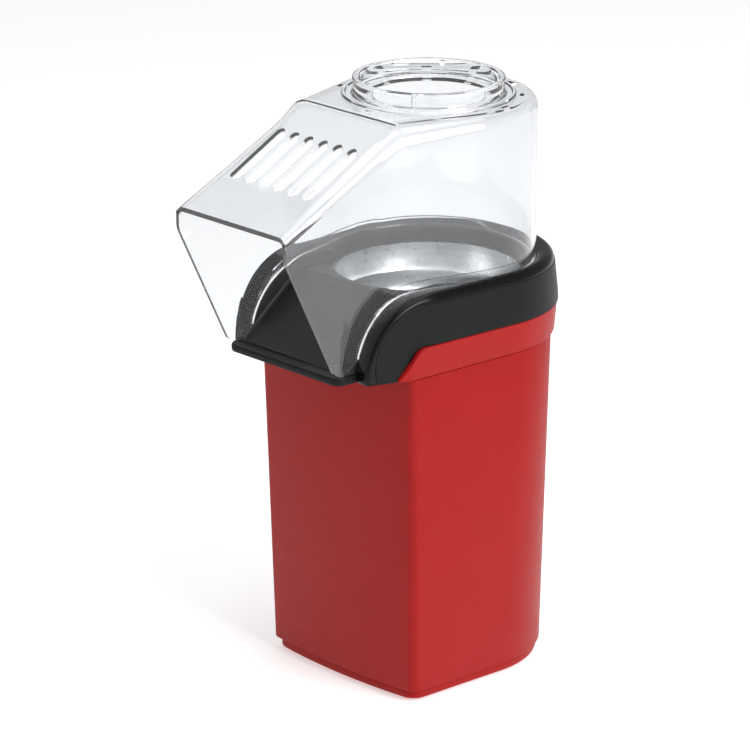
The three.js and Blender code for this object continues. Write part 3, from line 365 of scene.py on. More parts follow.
def carve(piece, shells, operation="DIFFERENCE"):
    """Cuts shells out of a piece, or joins them to it."""
    tools = []
    for shell in shells:
        tool = put("tool", [shell], list(piece.data.materials))
        modifier = piece.modifiers.new("carve", "BOOLEAN")
        modifier.object = tool
        modifier.operation = operation
        modifier.solver = "EXACT"
        tools.append(tool)
    settle(piece)
    for tool in tools:
        bpy.data.objects.remove(tool)


def finish_edges(piece, width):
    """Small rounding along a piece's sharp edges."""
    modifier = piece.modifiers.new("edges", "BEVEL")
    modifier.width = width * MM
    modifier.segments = 2
    modifier.limit_method = "ANGLE"
    modifier.angle_limit = math.radians(35)
    modifier.harden_normals = False
    settle(piece)


def show(piece, body, nodes, angle=30):
    """Shades a piece smoothly, mounts it on its CAD body and lets it stand for its nodes."""
    piece.data.shade_smooth()
    piece.data.set_sharp_from_angle(angle=math.radians(angle))
    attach(piece, body)
    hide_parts(*nodes)
    return piece


# ---------------------------------------------------------------- materials

def principled(name, **settings):
    """Material with one Principled shader whose uniform values sit on its own sockets."""
    material = bpy.data.materials.new(name)
    material.use_nodes = True
    shader = material.node_tree.nodes["Principled BSDF"]
    for socket, value in settings.items():
        shader.inputs[socket.replace("_", " ")].default_value = value
    return material, shader


def noise(material, scale, detail=3):
    """Output of a noise texture that is fixed to the object, with cells of 1 / scale metres."""
    tree = material.node_tree
    place = tree.nodes.new("ShaderNodeTexCoord")
    texture = tree.nodes.new("ShaderNodeTexNoise")
    texture.inputs["Scale"].default_value = scale
    texture.inputs["Detail"].default_value = detail
    tree.links.new(place.outputs["Object"], texture.inputs["Vector"])
    return texture.outputs["Fac"]


def spread(material, source, low, high, socket):
    """Lets a texture drive one of the shader's sockets between two numbers or colours."""
    tree = material.node_tree
    ramp = tree.nodes.new("ShaderNodeValToRGB")
    as_colour = [value if isinstance(value, tuple) else (value,) * 3 for value in (low, high)]
    ramp.color_ramp.elements[0].position = 0.3
    ramp.color_ramp.elements[1].position = 0.7
    for element, colour in zip(ramp.color_ramp.elements, as_colour):
        element.color = (*colour, 1)
    tree.links.new(source, ramp.inputs["Fac"])
    tree.links.new(ramp.outputs["Color"], tree.nodes["Principled BSDF"].inputs[socket])


def bump(material, source, strength, distance):
    """Lets a texture raise the surface; distance is in millimetres."""
    tree = material.node_tree
    node = tree.nodes.new("ShaderNodeBump")
    node.inputs["Strength"].default_value = strength
    node.inputs["Distance"].default_value = distance * MM
    tree.links.new(source, node.inputs["Height"])
    tree.links.new(node.outputs["Normal"], tree.nodes["Principled BSDF"].inputs["Normal"])


def moulded(name, dark, light, rough, grain=1400, depth=0.04, **settings):
    """Moulded plastic: slight mottling, uneven gloss and a fine grain."""
    material, _ = principled(name, **settings)
    spread(material, noise(material, 35), dark, light, "Base Color")
    spread(material, noise(material, 160), *rough, "Roughness")
    bump(material, noise(material, grain, 4), 0.35, depth)
    return material


def metal(name, dark, light, rough, grain):
    """Drawn or plated metal with fine streaks round and along the piece."""
    material, _ = principled(name, Metallic=1.0)
    tree = material.node_tree
    place = tree.nodes.new("ShaderNodeTexCoord")
    stretch = tree.nodes.new("ShaderNodeMapping")
    stretch.inputs["Scale"].default_value = grain
    texture = tree.nodes.new("ShaderNodeTexNoise")
    texture.inputs["Scale"].default_value = 1
    tree.links.new(place.outputs["Object"], stretch.inputs["Vector"])
    tree.links.new(stretch.outputs["Vector"], texture.inputs["Vector"])
    spread(material, texture.outputs["Fac"], dark, light, "Base Color")
    spread(material, noise(material, 300), *rough, "Roughness")
    bump(material, texture.outputs["Fac"], 0.15, 0.008)
    return material


def clear_plastic():
    """Clear moulded plastic that lets lamps through, with a faint grey tint and fine flow marks."""
    material, shader = principled("clear plastic", Base_Color=(0.895, 0.903, 0.915, 1), IOR=1.47,
                                  Transmission_Weight=0.985)
    spread(material, noise(material, 90), 0.0, 0.008, "Roughness")
    bump(material, noise(material, 22, 1), 0.05, 0.04)
    tree = material.node_tree
    rays = tree.nodes.new("ShaderNodeLightPath")
    through = tree.nodes.new("ShaderNodeBsdfTransparent")
    through.inputs["Color"].default_value = (0.92, 0.93, 0.94, 1)
    mix = tree.nodes.new("ShaderNodeMixShader")
    output = tree.nodes["Material Output"]
    tree.links.new(rays.outputs["Is Shadow Ray"], mix.inputs["Fac"])
    tree.links.new(shader.outputs["BSDF"], mix.inputs[1])
    tree.links.new(through.outputs["BSDF"], mix.inputs[2])
    tree.links.new(mix.outputs["Shader"], output.inputs["Surface"])
    return material


def make_materials():
    """One material for each of the record's slots, and one for the collar's glossy parts."""
    return {
        "red_plastic": moulded("red plastic", (0.302, 0.0085, 0.0070), (0.318, 0.0095, 0.0080),
                               (0.42, 0.48), Specular_IOR_Level=0.13),
        "black_plastic": moulded("satin black plastic", (0.0075, 0.008, 0.008), (0.0095, 0.010, 0.010),
                                 (0.40, 0.46), grain=420, depth=0.004, Specular_IOR_Level=0.12),
        "gloss_black": moulded("gloss black plastic", (0.0025, 0.0025, 0.0028), (0.0040, 0.0040, 0.0044),
                               (0.21, 0.28), grain=60, depth=0.004, Specular_IOR_Level=0.2),
        "clear_plastic": clear_plastic(),
        "rubber": moulded("rubber", (0.018, 0.018, 0.018), (0.03, 0.03, 0.03), (0.75, 0.9), 900, 0.12),
        "aluminium": metal("drawn aluminium", (0.66, 0.67, 0.68), (0.76, 0.77, 0.78), (0.26, 0.34),
                           (12, 12, 600)),
        "steel": metal("plated steel", (0.50, 0.50, 0.50), (0.66, 0.66, 0.66), (0.30, 0.45), (60, 60, 1500)),
        "heat_resistant": moulded("phenolic", (0.030, 0.024, 0.020), (0.055, 0.045, 0.036), (0.55, 0.7)),
        "mica": moulded("mica", (0.36, 0.27, 0.15), (0.55, 0.44, 0.30), (0.35, 0.6), 240, 0.1),
        "nichrome": metal("resistance wire", (0.20, 0.18, 0.17), (0.34, 0.30, 0.28), (0.4, 0.6),
                          (900, 900, 900)),
        "nylon": moulded("nylon", (0.70, 0.67, 0.58), (0.82, 0.80, 0.72), (0.45, 0.6)),
        "laminate": moulded("laminate", (0.02, 0.11, 0.035), (0.04, 0.17, 0.06), (0.35, 0.5), 500, 0.08),
        "wire": moulded("woven sleeve", (0.48, 0.45, 0.40), (0.72, 0.69, 0.62), (0.7, 0.85), 2600, 0.2),
    }


# ---------------------------------------------------------------- tower and base

def body_shell(look):
    """Tapered tower shell with rounded rims, a switch pad and its holes."""
    inner_scale = (BODY_HALF - SHELL) / BODY_HALF
    foot, top = BODY_LOW.z, BODY_HIGH.z
    levels = [(foot, -EDGE), (foot + EDGE / 2, -EDGE / 4), (foot + EDGE, 0), (top - EDGE, 0),
              (top - EDGE / 2, -EDGE / 4), (top, -EDGE)]
    outer = body_outline()
    rings = stack(outer, [(z, body_scale(z) * (1 + by / BODY_HALF)) for z, by in levels])
    rings += stack(outer, [(z, body_scale(z) * inner_scale) for z in (top, foot)])
    piece = put("tower", [loft(rings, closed=True)], [look])
    pad_foot, pad_top = SWITCH_LOW.z - PAD_MARGIN, SWITCH_HIGH.z + PAD_MARGIN
    half = SWITCH_HIGH.x + PAD_MARGIN
    pad_front = (BACK_CENTRE + BODY_HALF) * body_scale(pad_foot) - SHELL / 2
    pad = [(half, pad_front), (half, PAD_FACE - EDGE), (half - EDGE, PAD_FACE), (EDGE - half, PAD_FACE),
           (-half, PAD_FACE - EDGE), (-half, pad_front)]
    carve(piece, [loft([[(x, y, z) for x, y in pad] for z in (pad_foot, pad_top)])], "UNION")
    hole = SWITCH_HIGH.z - SWITCH_LOW.z - 2 * WINDOW_MARGIN
    middle = (SWITCH_LOW.z + SWITCH_HIGH.z) / 2
    window = box_shell((-WINDOW_HALF, WINDOW_SPAN[0], middle - hole / 2),
                       (WINDOW_HALF, WINDOW_SPAN[1], middle + hole / 2))
    bore = GLAND_RADIUS + GAP
    drill = [(DRILL_CORE, -DRILL_REACH), (bore, -DRILL_REACH), (bore, DRILL_REACH), (DRILL_CORE, DRILL_REACH)]
    carve(piece, [window, at_gland(drill)])
    return show(piece, "housing", ["body_shell"])


def at_gland(profile):
    """Turned shell that points out through the round back, from a profile of (radius, depth)."""
    points, faces, marks = lathe(profile, 48)
    rise = (GLAND_LOW.z + GLAND_HIGH.z) / 2
    scale = body_scale(GLAND_HIGH.z)
    turn = math.radians(GLAND_TURN)
    moved = []
    for x, y, depth in points:
        out = BODY_HALF * scale + GAP + depth
        moved.append((x * math.cos(turn) - out * math.sin(turn),
                      BACK_CENTRE * scale + x * math.sin(turn) + out * math.cos(turn), rise + y))
    return moved, faces, marks


def cord_gland(look):
    """Rubber gland: a tail inside the wall, a flange against it and a blunt nose."""
    inside = SHELL + 4 * GAP
    end = -inside - GLAND_TAIL
    profile = [(GLAND_BORE, end), (GLAND_TAIL_RADIUS, end), (GLAND_RADIUS, -inside), (GLAND_RADIUS, 0),
               (GLAND_FLANGE - 0.3, 0), (GLAND_FLANGE, 0.3), (GLAND_FLANGE, 1.3), (GLAND_FLANGE - 0.9, 2.2),
               (GLAND_RADIUS + 0.4, 2.4), (GLAND_RADIUS, 2.9), (GLAND_RADIUS - 0.4, GLAND_NOSE - 0.5),
               (GLAND_RADIUS - 1, GLAND_NOSE), (GLAND_BORE + 0.4, GLAND_NOSE), (GLAND_BORE, GLAND_NOSE - 0.4)]
    return show(put("gland", [at_gland(profile)], [look]), "housing", ["cord_gland"], 25)


def base_plate(look):
    """Plinth with a slotted air intake, recesses for the feet and sunk screw holes."""
    foot = PLATE_LOW.z
    plinth = tower_outline(BODY_FRONT - PLINTH_INSET, BODY_BOW, BODY_FRONT_HALF - PLINTH_INSET,
                           BODY_HALF - PLINTH_INSET, PLINTH_CORNER)
    shrink = FOOT_SCALE * (1 - PLINTH_ROUND / BODY_HALF)
    rings = stack(plinth, [(foot, shrink), (foot + 0.35, FOOT_SCALE * PLINTH_EASE),
                           (foot + PLINTH_ROUND, FOOT_SCALE), (PLINTH_TOP, FOOT_SCALE)])
    inside = FOOT_SCALE * (1 - SPIGOT_INSET / BODY_HALF)
    deeper = FOOT_SCALE * (1 - (SPIGOT_INSET + SHELL) / BODY_HALF)
    rings += stack(body_outline(), [(PLINTH_TOP, inside), (PLATE_HIGH.z, inside), (PLATE_HIGH.z, deeper),
                                    (foot + PLATE_FLOOR, deeper)])
    piece = put("base", [loft(rings)], [look])
    tools = []
    rows = int(INTAKE_RADIUS / INTAKE_PITCH)
    for row in range(-rows, rows + 1):
        x = row * INTAKE_PITCH
        half = math.sqrt(INTAKE_RADIUS ** 2 - x ** 2)
        tools.append(slot_cutter(x, half, INTAKE_SLOT / 2))
    below = BASE_CUT[0]
    for y in FOOT_YS:
        tools += [rod(FOOT_RADIUS + GAP, below, foot + FOOT_RECESS, (side * FOOT_X, y)) for side in (-1, 1)]
    for y in SCREW_YS:
        top = SCREW_HEAD_LOW + SCREW_SINK
        tools += [rod(SCREW_HOLE, below, top, (side * SCREW_X, y), 32) for side in (-1, 1)]
    carve(piece, tools)
    finish_edges(piece, 0.25)
    return show(piece, "housing", ["base_plate"])


def rod(radius, foot, top, centre, segments=48):
    """Solid round bar."""
    angles = np.linspace(0, 2 * math.pi, segments, endpoint=False)
    circle = [(centre[0] + radius * math.cos(a), centre[1] + radius * math.sin(a)) for a in angles]
    return loft([[(x, y, z) for x, y in circle] for z in (foot, top)])


def slot_cutter(x, half, round_half):
    """Upright prism over a slot with round ends, along y."""
    ends = circle_arc(round_half, 0, 180, (x, half - round_half), 15)
    outline = [*ends, *[(2 * x - px, -py) for px, py in ends]]
    return loft([[(px, py, z) for px, py in outline] for z in BASE_CUT])


def rubber_feet(look):
    """Four round feet that rest on a flat ring round a slightly hollow middle."""
    top = PLATE_LOW.z + 1
    hollow = 0.25
    profile = [(NEAR_AXIS, hollow), (FOOT_RADIUS - 1.6, hollow), (FOOT_RADIUS - 1.2, 0),
               (FOOT_RADIUS - EDGE, 0), (FOOT_RADIUS, EDGE), (FOOT_RADIUS, top), (NEAR_AXIS, top)]
    places = [(1, FOOT_YS[0]), (-1, FOOT_YS[0]), (1, FOOT_YS[1]), (-1, FOOT_YS[1])]
    for number, (side, y) in enumerate(places, 1):
        foot = put(f"foot_{number}", [lathe(profile, 48, (side * FOOT_X, y))], [look])
        show(foot, "housing", [f"rubber_foot_{number}"], 40)


# ---------------------------------------------------------------- band and collar

def sweep_line(edge, ahead):
    """Side view (y, z) of the seam between band and collar: level, then curving down in front."""
    behind = BODY_HALF + 40
    return rounded([(behind, edge), (-SWEEP_TOP - ahead, edge, SWEEP_ROUND),
                    (-SWEEP_FOOT - ahead, BAND_FOOT - 0.01, SWEEP_FOOT_ROUND),
                    (-SWEEP_FOOT - ahead - 0.7, BAND_FOOT - 3)], closed=False, step=5)


def band_side(y):
    """Half width of the band's foot at a distance along the side."""
    corner = rounded([(BAND_HALF, BACK_CENTRE), (BAND_FRONT_HALF, BODY_BOW - BAND_FRONT, BAND_CORNER),
                      (0, -BAND_FRONT)], closed=False, step=3)
    return np.interp(y, corner[::-1, 1], corner[::-1, 0])


def upper_band(look):
    """Red band: a wall that follows the tower, ends under the collar's sweep and flares upwards."""
    seam = sweep_line(BAND_TOP, 0)[::-1]
    rings = []
    front = 0.7 - SWEEP_FOOT
    for y in [*np.linspace(front, -48, 34), *np.linspace(-46, BACK_CENTRE - 2, 16)]:
        top = float(np.clip(np.interp(y, seam[:, 0], seam[:, 1]), BAND_FOOT + 1.3, BAND_TOP))
        rings.append(band_section(lambda out, y=y: (float(band_side(y)) + out, y), top))
    for angle in np.radians(np.linspace(0, 90, 31)):
        cosine, sine = math.cos(angle), math.sin(angle)
        rings.append(band_section(
            lambda out, c=cosine, s=sine: ((BAND_HALF + out) * c, BACK_CENTRE + (BAND_HALF + out) * s),
            BAND_TOP))
    rings += [[(-x, y, z) for x, y, z in ring] for ring in rings[-2::-1]]
    shells = [loft(rings)]
    spigot = 1 - (SHELL + SPIGOT_SLIP) / BODY_HALF
    inner = 1 - (2 * SHELL + SPIGOT_SLIP) / BODY_HALF
    low, high = BODY_HIGH.z - BAND_SPIGOT, BAND_FOOT + BAND_SPIGOT
    ring = stack(body_outline(), [(low, spigot), (high, spigot), (high, inner), (low, inner)])
    shells.append(loft(ring, closed=True))
    low, high = BAND_FOOT + GAP, BAND_FOOT + 2
    ledge = stack(body_outline(), [(low, inner), (low, 1), (high, 1), (high, inner)])
    shells.append(loft(ledge, closed=True))
    return show(put("band", shells, [look]), "housing", ["upper_band"])


def band_section(ray, top):
    """One upright section of the band's wall; ray gives (x, y) at a distance out from its foot."""
    foot = BAND_FOOT
    flare = BAND_FLARE * (top - foot) / (BAND_TOP - foot)
    section = [(-SHELL, foot), (-1.6, foot), (-0.7, foot + 0.15), (-0.15, foot + 0.6), (0, foot + 1.2),
               (flare - 0.05, top - 0.4), (flare - 0.4, top), (flare - SHELL, top)]
    return [(*ray(out), z) for out, z in section]


def cover_side(y, by=0):
    """Half width of the cover at a distance along its straight spout and flared neck."""
    half, radius = COVER_HALF + by, COVER_RADIUS + by
    angle = math.radians(COVER_FLARE)
    start = (radius * math.cos(angle), -radius * math.sin(angle))
    meets = start[1] - (start[0] - half) / math.tan(angle)
    line = rounded([(half, -MOUTH - 2), (half, meets, COVER_FLARE_ROUND), start], closed=False, step=2)
    bow = np.sqrt(np.maximum(radius ** 2 - np.square(y), 0))
    return np.where(np.asarray(y) > start[1], bow, np.interp(y, line[:, 1], line[:, 0]))


def collar_side(y):
    """Half width of the collar along its flat sides, drawn in towards the front."""
    line = rounded([(COLLAR_HIGH.x, BACK_CENTRE), (*COLLAR_TURN, COLLAR_TURN_ROUND), COLLAR_FRONT],
                   closed=False, step=1)
    return np.interp(y, line[::-1, 1], line[::-1, 0])


def rim_section(place, outer, slot, edge, low, wall, turn=0.0):
    """Closed section of the collar's rim, and the span of its glossy points.

    place puts (lateral, rise) in space; outer gives the side's lateral at a rise; slot and edge
    are the laterals of the cover's rebate and of the deck's inner edge; low and wall are the
    lowest rises of the outer and inner walls; turn is 0 over the tower and 1 at the arm's front.
    """
    top_of_side = SIDE_TOP + SIDE_SWELL * math.sin(math.pi * turn)
    shoulder = SHOULDER + (SHOULDER_FRONT - SHOULDER) * turn
    drafted = SIDE_TOP - DRAFT_FROM
    side = [(outer(rise) - SIDE_DRAFT * max(0, (rise - DRAFT_FROM) / drafted), rise)
            for rise in np.linspace(low, top_of_side, 6)]
    start = side[-1][0]
    width = max(start - (outer(CREST) - shoulder), 1)
    height = CREST - top_of_side
    arc = []
    for step in range(8):
        angle = math.radians(90 * step / 7)
        arc.append((start - CREASE - (width - CREASE) * (1 - math.cos(angle)),
                    top_of_side + 0.1 + (height - 0.1) * math.sin(angle)))
    crest = arc[-1][0]
    run = crest - slot
    drop = min(CREST_DROP, max(run, 0.2))
    gloss = [(crest - run * t, CREST - drop * t ** 2) for t in (0.2, 0.4, 0.6, 0.8, 0.93)]
    inner = [(slot, CREST - drop - 0.35), (slot, DECK), (edge + 1.5, DECK), (edge + 0.5, DECK - 0.3),
             (edge, DECK - 1.2), (edge, wall), (edge + CHUTE_WALL, wall), (edge + CHUTE_WALL, DECK - 3)]
    back = [(crest, DECK - 2.4), (start - 2.4, top_of_side - 1), (outer(low) - SHELL, low)]
    points = side + arc + gloss + inner + back
    glossy = (len(side) - 1, len(side) + len(arc) + len(gloss))
    return [place(lateral, rise) for lateral, rise in points], glossy


def collar_rim():
    """Rings of the collar's rim from the right arm's foot, round the back, to the left arm's foot."""
    seam = sweep_line(COLLAR_EDGE, 2 * GAP)[::-1]
    ahead = np.linspace(-ARM_START, seam[0, 0], 160)
    height = np.interp(ahead, seam[:, 0], seam[:, 1]) - ARM_CENTRE
    turns = np.arctan2(-(ahead + ARM_START), height)
    rises = np.hypot(ahead + ARM_START, height)
    rings = []

    def arm(angle, z_shift=0.0, shrink=0.0):
        low = float(np.interp(angle, turns, rises))
        slope = np.interp(math.degrees(angle), (0, ARM_WALL_TURN), (SKIRT_FOOT - ARM_CENTRE, ARM_WALL_LOW))

        def place(lateral, rise):
            rise = rise - shrink * (rise > SIDE_TOP - 4)
            return (lateral - shrink * (lateral > ARM_OUTSIDE), -ARM_START - rise * math.sin(angle),
                    ARM_CENTRE + rise * math.cos(angle) + z_shift)

        def outer(rise):
            return float(collar_side(-ARM_START - rise * math.sin(angle)))

        slot = float(cover_side(-ARM_START - CREST * math.sin(angle), COVER_SLIP))
        return rim_section(place, outer, slot, CHUTE_HALF, low, float(slope), angle / (math.pi / 2))

    for z_shift, shrink in ARM_FOOT_ROUND:
        ring, glossy = arm(math.pi / 2, z_shift, shrink)
        rings.append(ring)
    for angle in np.radians(np.linspace(90, 2.5, 36)):
        rings.append(arm(angle)[0])
    for y in np.linspace(-ARM_START, BACK_CENTRE - 2, 26):
        edge = max(CHUTE_HALF, math.sqrt(OPENING ** 2 - y ** 2))
        rings.append(rim_section(
            lambda lateral, rise, y=y: (lateral, y, ARM_CENTRE + rise),
            lambda rise, y=y: float(collar_side(y)),
            float(cover_side(y, COVER_SLIP)), edge, SIDE_FOOT, SKIRT_FOOT - ARM_CENTRE)[0])
    for angle in np.radians(np.linspace(0, 90, 37)):
        cosine, sine = math.cos(angle), math.sin(angle)

        def from_back(radius):
            return -BACK_CENTRE * sine + math.sqrt(radius ** 2 - (BACK_CENTRE * cosine) ** 2)

        rings.append(rim_section(
            lambda lateral, rise, c=cosine, s=sine: (
                lateral * c, BACK_CENTRE + lateral * s, ARM_CENTRE + rise),
            lambda rise: COLLAR_HIGH.x, from_back(COVER_RADIUS + COVER_SLIP), from_back(OPENING),
            SIDE_FOOT, SKIRT_FOOT - ARM_CENTRE)[0])
    rings += [[(-x, y, z) for x, y, z in ring] for ring in rings[-2::-1]]
    points, faces, along = loft(rings)
    return points, faces, along, [int(glossy[0] <= k < glossy[1]) for k in along]


def chute_floor():
    """Floor from the opening's edge down to the lip, with its sides curling up into the walls."""
    columns = []
    edge = CHUTE_HALF + 1.8
    round_from = CHUTE_HALF - CHUTE_CURL
    xs = [*np.linspace(-edge, -round_from, 8), *np.linspace(-round_from + 3, round_from - 3, 21),
          *np.linspace(round_from, edge, 8)]
    for x in xs:
        over = min(max(abs(x) - round_from, 0), CHUTE_CURL)
        curl = CHUTE_CURL - math.sqrt(CHUTE_CURL ** 2 - over ** 2)
        back = -math.sqrt(OPENING ** 2 - min(abs(x), CHUTE_HALF) ** 2)
        top = rounded([(back, CHUTE_TOP - 1.2), (back, CHUTE_TOP, 1), (-CHUTE_BACK, CHUTE_TOP, 3),
                       (-CHUTE_FRONT, LIP_TOP, 8), (-CHUTE_REACH + 6, LIP_TOP)], closed=False, step=12)
        under = [(-CHUTE_REACH + 6, BAND_FOOT + 1), (-CHUTE_FRONT - 1.2, BAND_FOOT + 1),
                 (-CHUTE_BACK, SKIRT_FOOT), (back, SKIRT_FOOT)]
        columns.append([(x, y, z + curl) for y, z in top] + [(x, y, z) for y, z in under])
    return loft(columns)


def chute_tongue():
    """Flat lip with rounded corners and edges, under the mouth."""
    outline = rounded([(TONGUE_HALF, -TONGUE_BACK), (TONGUE_HALF, -CHUTE_REACH, TONGUE_CORNER),
                       (-TONGUE_HALF, -CHUTE_REACH, TONGUE_CORNER), (-TONGUE_HALF, -TONGUE_BACK)])
    middle = np.array([0, -TONGUE_BACK])
    rings = []
    for z, by in ((BAND_FOOT, 0.9), (BAND_FOOT + 0.25, 0.3), (BAND_FOOT + 0.9, 0), (LIP_TOP - 0.9, 0),
                  (LIP_TOP - 0.25, 0.3), (LIP_TOP, 0.9)):
        scale = np.array([1 - by / TONGUE_HALF, 1 - by / (CHUTE_REACH - TONGUE_BACK)])
        rings.append([(*(middle + (point - middle) * scale), z) for point in outline])
    return loft(rings)


def collar(satin, gloss):
    """Rim, chute floor and tongue in satin black, with the rim's shoulder and crest glossy."""
    floor, tongue = chute_floor(), chute_tongue()
    shells = [collar_rim()] + [(*shell[:3], [0] * len(shell[1])) for shell in (floor, tongue)]
    piece = put("collar_and_chute", shells, [satin, gloss])
    return show(piece, "housing", ["collar"], 32)


# ---------------------------------------------------------------- clear cover

def hood(y):
    """Height of the cover's top at a distance along y, with the fold rounded."""
    ahead = np.maximum(-FOLD - np.asarray(y, float), 0)
    eased = np.where(ahead < FOLD_SOFT, ahead ** 2 / (2 * FOLD_SOFT), ahead - FOLD_SOFT / 2)
    return COVER_TOP - eased * HOOD_TAN


def cover_foot_line():
    """Side view (y, z) of the cover's lower edge: mouth, tip, arm curve and level rim."""
    radius = COVER_FOOT - ARM_CENTRE
    arm = circle_arc(radius, 172, 90, (-ARM_START, ARM_CENTRE), 4)
    mouth_top = float(hood(-MOUTH))
    return rounded([(-MOUTH, mouth_top - MOUTH_BEND + 5), (-MOUTH, mouth_top - MOUTH_BEND, MOUTH_ROUND),
                    (-MOUTH_TIP, TIP_FOOT, TIP_ROUND), (-ARM_START - radius, TIP_FOOT, TIP_ROUND),
                    *map(tuple, arm), (COVER_RADIUS, COVER_FOOT)], closed=False, step=8)


def cover_columns():
    """Right half of the cover's plan as (x, y, nx, ny), from the mouth round to the back."""
    foot = cover_foot_line()
    ys = foot[(foot[:, 0] < -ARM_START + 0.1), 0]
    fine = [y for a, b in zip(ys[:-1], ys[1:]) if b - a > 1e-3
            for y in np.linspace(a, b, max(2, int((b - a) / 2) + 1))[:-1]]
    start = -COVER_RADIUS * math.sin(math.radians(COVER_FLARE))
    straight = sorted({round(float(y), 4) for y in [*fine, *np.linspace(-FOLD - 3, -FOLD + 3, 7),
                                                    *np.linspace(-44, start, 18)]})
    points = [(float(cover_side(y)), y) for y in straight]
    points += [tuple(p) for p in circle_arc(COVER_RADIUS, -COVER_FLARE, 90)[1:]]
    points = np.array(points)
    along = np.gradient(points, axis=0)
    along /= np.linalg.norm(along, axis=1)[:, None]
    normals = np.column_stack([along[:, 1], -along[:, 0]])
    normals[0] = normals[1] = (1, 0)
    normals[-1] = (0, 1)
    points[-1, 0] = 0
    return np.column_stack([points, normals])


def cover_shell():
    """Closed shell of the cover: outer and inner skins over the same columns, joined at the edge."""
    columns = cover_columns()
    foot = cover_foot_line()
    rounding = np.interp(columns[:, 1], EDGE_PLACES, EDGE_RADII)
    skins = []
    for inward in (0.0, COVER_WALL):
        rows = []
        for (x, y, nx, ny), radius in zip(columns, rounding):
            low = float(np.interp(y, foot[:, 0], foot[:, 1]))
            slope = HOOD_TAN if y < -FOLD else 0
            thick = inward * math.sqrt(1 + slope ** 2)
            cx, cy = x - nx * radius, y - ny * radius
            centre = float(hood(cy)) - radius
            wall_top = max(centre, low + 6)
            rows_here = []
            rim = RIM_EXTRA if inward and y > -MOUTH_TIP + 6 else 0
            for z, extra in ((low, rim), (low + RIM_STEP - 0.4, rim), (low + RIM_STEP, 0)):
                out = -inward - extra
                rows_here.append((x + nx * out, y + ny * out, z))
            for t in (0.33, 0.66, 1.0):
                z = low + RIM_STEP + (wall_top - low - RIM_STEP) * t
                rows_here.append((x - nx * inward, y - ny * inward, z))
            for step in range(1, 7):
                angle = math.radians(15 * step)
                out = (radius - inward) * math.cos(angle)
                z = centre + (radius - thick) * math.sin(angle)
                rows_here.append((cx + nx * out, cy + ny * out, z))
            tx, ty, tz = rows_here[-1]
            rows_here += [(tx * (1 - k / TOP_STEPS), ty, tz) for k in range(1, TOP_STEPS + 1)]
            rows.append(rows_here)
        skins.append(np.array(rows))
    return stitch(*skins)


def stitch(outer, inner):
    """Faces of two matching half grids, mirrored in x and joined along their free edges."""
    columns, size = outer.shape[:2]
    points = np.concatenate([outer.reshape(-1, 3), inner.reshape(-1, 3)])
    half = len(points)
    points = np.concatenate([points, points * (-1, 1, 1)])
    skin = columns * size
    faces = []
    for base in (0, skin):
        for i in range(columns - 1):
            for k in range(size - 1):
                a = base + i * size + k
                faces.append((a, a + size, a + size + 1, a + 1))
    for i in range(columns - 1):
        faces.append((i * size, skin + i * size, skin + (i + 1) * size, (i + 1) * size))
    for k in range(size - 1):
        faces.append((k, k + 1, skin + k + 1, skin + k))
    faces += [tuple(half + k for k in face) for face in faces]
    return points, faces, [0] * len(faces)


def neck_profile():
    """Filler neck: inner ledge, tube with a soft rim, and the low ring round its foot."""
    inner = NECK - NECK_WALL
    ledge = inner - NECK_LEDGE
    under = COVER_TOP - COVER_WALL
    ring = COVER_TOP + 1.2
    foot = [(ledge, under + 0.3), (ledge + 0.3, under), (NECK_RING, under), (NECK_RING, ring - 0.5)]
    low_ring = [(NECK_RING - 0.5, ring), (NECK_RING - 1.6, ring), (NECK_RING - 2.1, ring - 0.7)]
    outside = [(NECK + 1.2, ring - 0.7), (NECK + 0.3, ring + 0.2), (NECK, ring + 1.4),
               (NECK - 0.3, NECK_TOP - 1.9)]
    soft_rim = [(NECK + 0.35, NECK_TOP - 1.5), (NECK + 0.35, NECK_TOP - 0.4), (NECK - 0.1, NECK_TOP),
                (inner + 0.4, NECK_TOP), (inner, NECK_TOP - 0.5)]
    inside = [(inner, COVER_TOP + 0.8), (inner - 0.8, COVER_TOP), (ledge + 0.3, COVER_TOP),
              (ledge, COVER_TOP - 0.3)]
    return foot + low_ring + outside + soft_rim + inside


def vent_cutter(x):
    """Slot through the hood, with round ends, square to its slope."""
    middle = (VENT_TOP + VENT_FOOT) / 2
    half = (VENT_FOOT - VENT_TOP) / 2 * math.sqrt(1 + HOOD_TAN ** 2)
    ends = circle_arc(VENT_WIDTH / 2, 0, 180, (0, half - VENT_WIDTH / 2), 15)
    outline = [*ends, *[(-px, -py) for px, py in ends]]
    slope = Matrix.Rotation(math.atan(HOOD_TAN), 3, "X")
    at = Vector((x, -middle, float(hood(-middle))))
    return loft([[tuple(at + slope @ Vector((px, py, z))) for px, py in outline] for z in (-5, 5)])


def deck_vent(angle):
    """Small upright slot beside the neck's ring."""
    turn = math.radians(angle)
    out = np.array([math.cos(turn), math.sin(turn)])
    side = np.array([-out[1], out[0]])
    thick, wide = DECK_VENT_HALVES
    corners = [out * (DECK_VENT_RADIUS + a * thick) + side * b * wide
               for a, b in ((-1, -1), (1, -1), (1, 1), (-1, 1))]
    return loft([[(*corner, z) for corner in corners] for z in (COVER_TOP - 5, COVER_TOP + 5)])


def neck_rib(angle):
    """Small upright rib inside the neck."""
    turn = math.radians(angle)
    out = np.array([math.cos(turn), math.sin(turn)])
    side = np.array([-out[1], out[0]])
    inner = NECK - NECK_WALL
    plan = ((-0.7, -0.8), (0.5, -1.2), (0.5, 1.2), (-0.7, 0.8))
    corners = [out * (inner + a) + side * b for a, b in plan]
    return loft([[(*corner, z) for corner in corners] for z in (COVER_TOP - 0.2, NECK_TOP - 1.4)])


